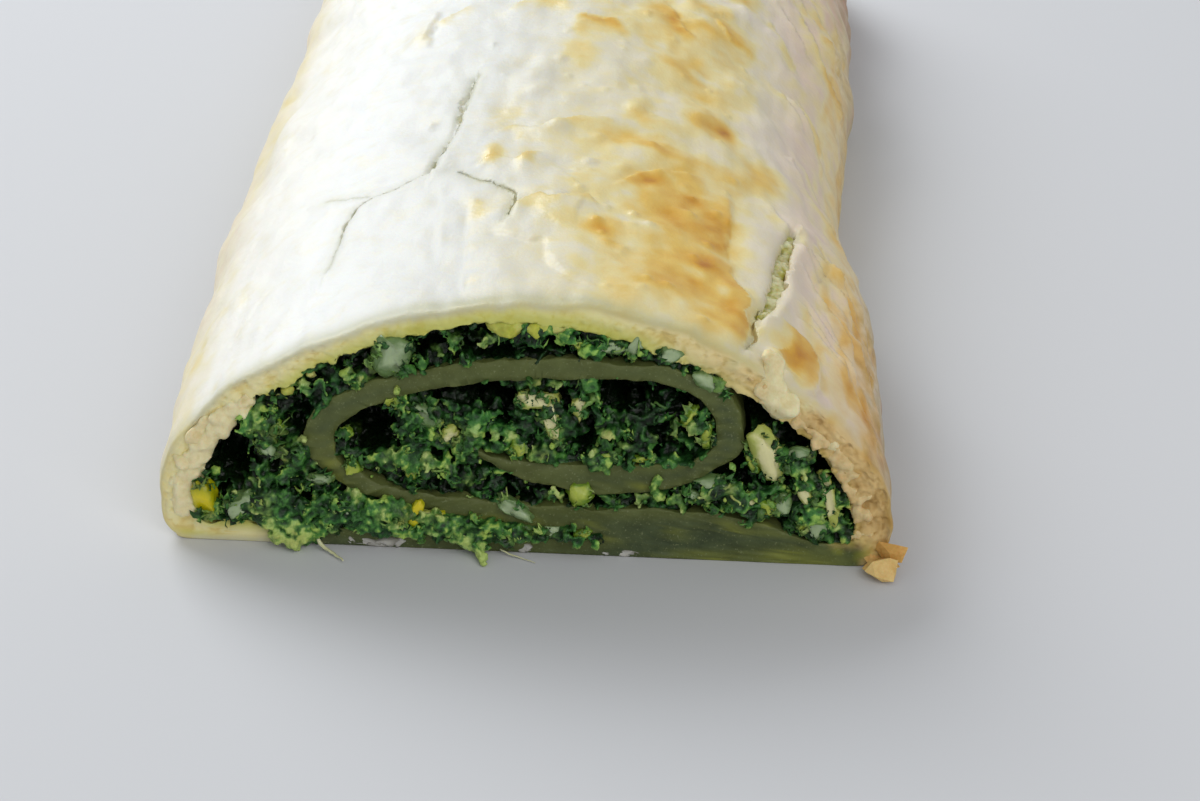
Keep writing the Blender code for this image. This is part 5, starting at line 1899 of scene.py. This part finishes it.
def foot_flakes(drawn):
    """The flakes of crust by the right foot: thick, slightly curled shards."""
    placed = []
    for x, z, forward, size, lean, spin, pale in FOOT_FLAKES:
        turn = Euler((math.radians(lean), 0, math.radians(spin))).to_matrix().to_4x4()
        place = Matrix.Translation((x * MM, CUT_Y - forward * MM, z * MM))
        scale = Matrix.Diagonal((size * MM, size * 0.8 * MM, size * 0.3 * MM, 1))
        placed.append((crumb_shape(drawn), place @ turn @ scale, 0.5, pale))
    return placed


def make_crumbs():
    """Crumbs, lumps and flakes of dough on the cut, in the split and at the foot."""
    drawn = random.Random(SEED + 3)
    crumbs = [crumb_shape(drawn, 2) for _ in range(8)]
    tan = [(0.1, (0.40, 0.25, 0.08)), (0.9, (0.68, 0.48, 0.21))]
    cream = [(0.1, (0.72, 0.58, 0.24)), (0.9, (0.86, 0.80, 0.50))]
    torn = melted(scattered(crumbs_on_cut(crumbs)), CRUMB_VOXEL, 0.10 * MM, 3)
    torn_dough = crumb_material("torn_crumb", tan, cream)
    add_piece("torn_crumb", torn, torn_dough)
    lumps = melted(scattered(soft_lumps("torn lumps", TORN_LUMPS, crumbs)), CRUMB_VOXEL, 0.06 * MM, 12)
    add_piece("torn_lumps", lumps, torn_dough)
    lime = [(0.1, (0.24, 0.28, 0.02)), (0.9, (0.50, 0.52, 0.07))]
    juicy = melted(scattered(soft_lumps("juicy lumps", JUICY_LUMPS, crumbs)), CRUMB_VOXEL, 0.06 * MM, 8)
    add_piece("juicy_lumps", juicy, crumb_material("juicy_dough", lime, cream))
    route = CRACKS["split"][0]
    green = [(0.1, (0.22, 0.21, 0.02)), (0.9, (0.44, 0.42, 0.07))]
    olive = [(0.1, (0.38, 0.35, 0.12)), (0.9, (0.68, 0.66, 0.40))]
    foot = [(34.0, 24.0), (34.0, 20.0), (33.6, 16.5)]
    fill = crumbs_along("split dough", route, 220, (0.9, 2.2), (0.6, 1.4), 0.6, crumbs, (0.3, 0.9), 1.0)
    fill += crumbs_along("split spinach", route, 80, (0.6, 1.5), (0.3, 0.9), 0.5, crumbs, (0.2, 0.8), 0.0)
    fill += crumbs_along("split foot", foot, 60, (0.8, 1.9), (0.3, 0.8), 0.8, crumbs, (0.3, 0.9), 0.9)
    split = melted(scattered(fill), CRUMB_VOXEL, 0.14 * MM, 2)
    add_piece("split_crumbs", split, crumb_material("split_crumbs", green, olive))
    baked = [(0.1, (0.48, 0.22, 0.04)), (0.9, (0.72, 0.42, 0.11))]
    pale = [(0.1, (0.64, 0.40, 0.11)), (0.9, (0.84, 0.64, 0.28))]
    flakes = lifted_to_floor(scattered(foot_flakes(drawn)))
    add_piece("foot_flakes", flakes, crumb_material("crust_flake", baked, pale), False)
    flour = soft_food_material("floury_dough", (0.26, 0.25, 0.21), (0.48, 0.47, 0.43), 0.6, 0.1)
    chopped_pieces("floury_patches", FLOURY, flour, 0.3)


# ---------------------------------------------------------------- light and camera

# The camera, from the plane of the cut, with its turns in degrees
CAMERA_FROM_CUT = Vector((21.2 * MM, -311.6 * MM, 205.0 * MM))
CAMERA_DOWN = 30.05
CAMERA_ROUND = 1.98
CAMERA_ROLL = 1.31
CAMERA_LENS = 81.5


def place_camera():
    """The camera, at the photo's viewing angle."""
    down, turn, roll = (math.radians(angle) for angle in (CAMERA_DOWN, CAMERA_ROUND, CAMERA_ROLL))
    ahead = Vector((-math.sin(turn) * math.cos(down), math.cos(turn) * math.cos(down), -math.sin(down)))
    level = Vector((math.cos(turn), math.sin(turn), 0))
    above = level.cross(ahead)
    right = level * math.cos(roll) + above * math.sin(roll)
    up = above * math.cos(roll) - level * math.sin(roll)
    camera = bpy.data.objects.new("camera", bpy.data.cameras.new("camera"))
    bpy.context.scene.collection.objects.link(camera)
    camera.data.lens = CAMERA_LENS
    camera.data.clip_start = 0.01
    turned = Matrix((right, up, -ahead)).transposed().to_4x4()
    camera.matrix_world = Matrix.Translation(Vector((0, CUT_Y, 0)) + CAMERA_FROM_CUT) @ turned
    bpy.context.scene.camera = camera


def add_light(name, place, aim, size, power, colour):
    """A soft square light."""
    light = bpy.data.lights.new(name, "AREA")
    light.size = size
    light.energy = power
    light.color = colour
    holder = bpy.data.objects.new(name, light)
    bpy.context.scene.collection.objects.link(holder)
    holder.location = place
    holder.rotation_euler = (Vector(aim) - Vector(place)).to_track_quat("-Z", "Y").to_euler()


def light_scene():
    """A pale floor, a soft window light from the back left, and a little light all round."""
    bm = bmesh.new()
    bmesh.ops.create_grid(bm, x_segments=1, y_segments=1, size=3.0)
    floor = bpy.data.objects.new("floor", mesh_from(bm, "floor"))
    bpy.context.scene.collection.objects.link(floor)
    made, _, shader = new_material("pale_floor")
    shader.inputs["Base Color"].default_value = (0.62, 0.63, 0.65, 1)
    shader.inputs["Roughness"].default_value = 0.8
    floor.data.materials.append(made)
    middle = (0, 0, 0.02)
    add_light("window", (-0.72, 0.78, 0.80), middle, 0.9, 15.5, (0.96, 0.98, 1.0))
    add_light("front", (0.5, -1.0, 0.8), middle, 1.0, 6.5, (1.0, 0.98, 0.95))
    world = bpy.data.worlds.new("room")
    bpy.context.scene.world = world
    world.use_nodes = True
    world.node_tree.nodes["Background"].inputs["Color"].default_value = (0.95, 0.97, 1.0, 1)
    world.node_tree.nodes["Background"].inputs["Strength"].default_value = 0.40
    bpy.context.scene.view_settings.view_transform = "Standard"


place_camera()
make_dough()
make_filling()
make_crumbs()
light_scene()
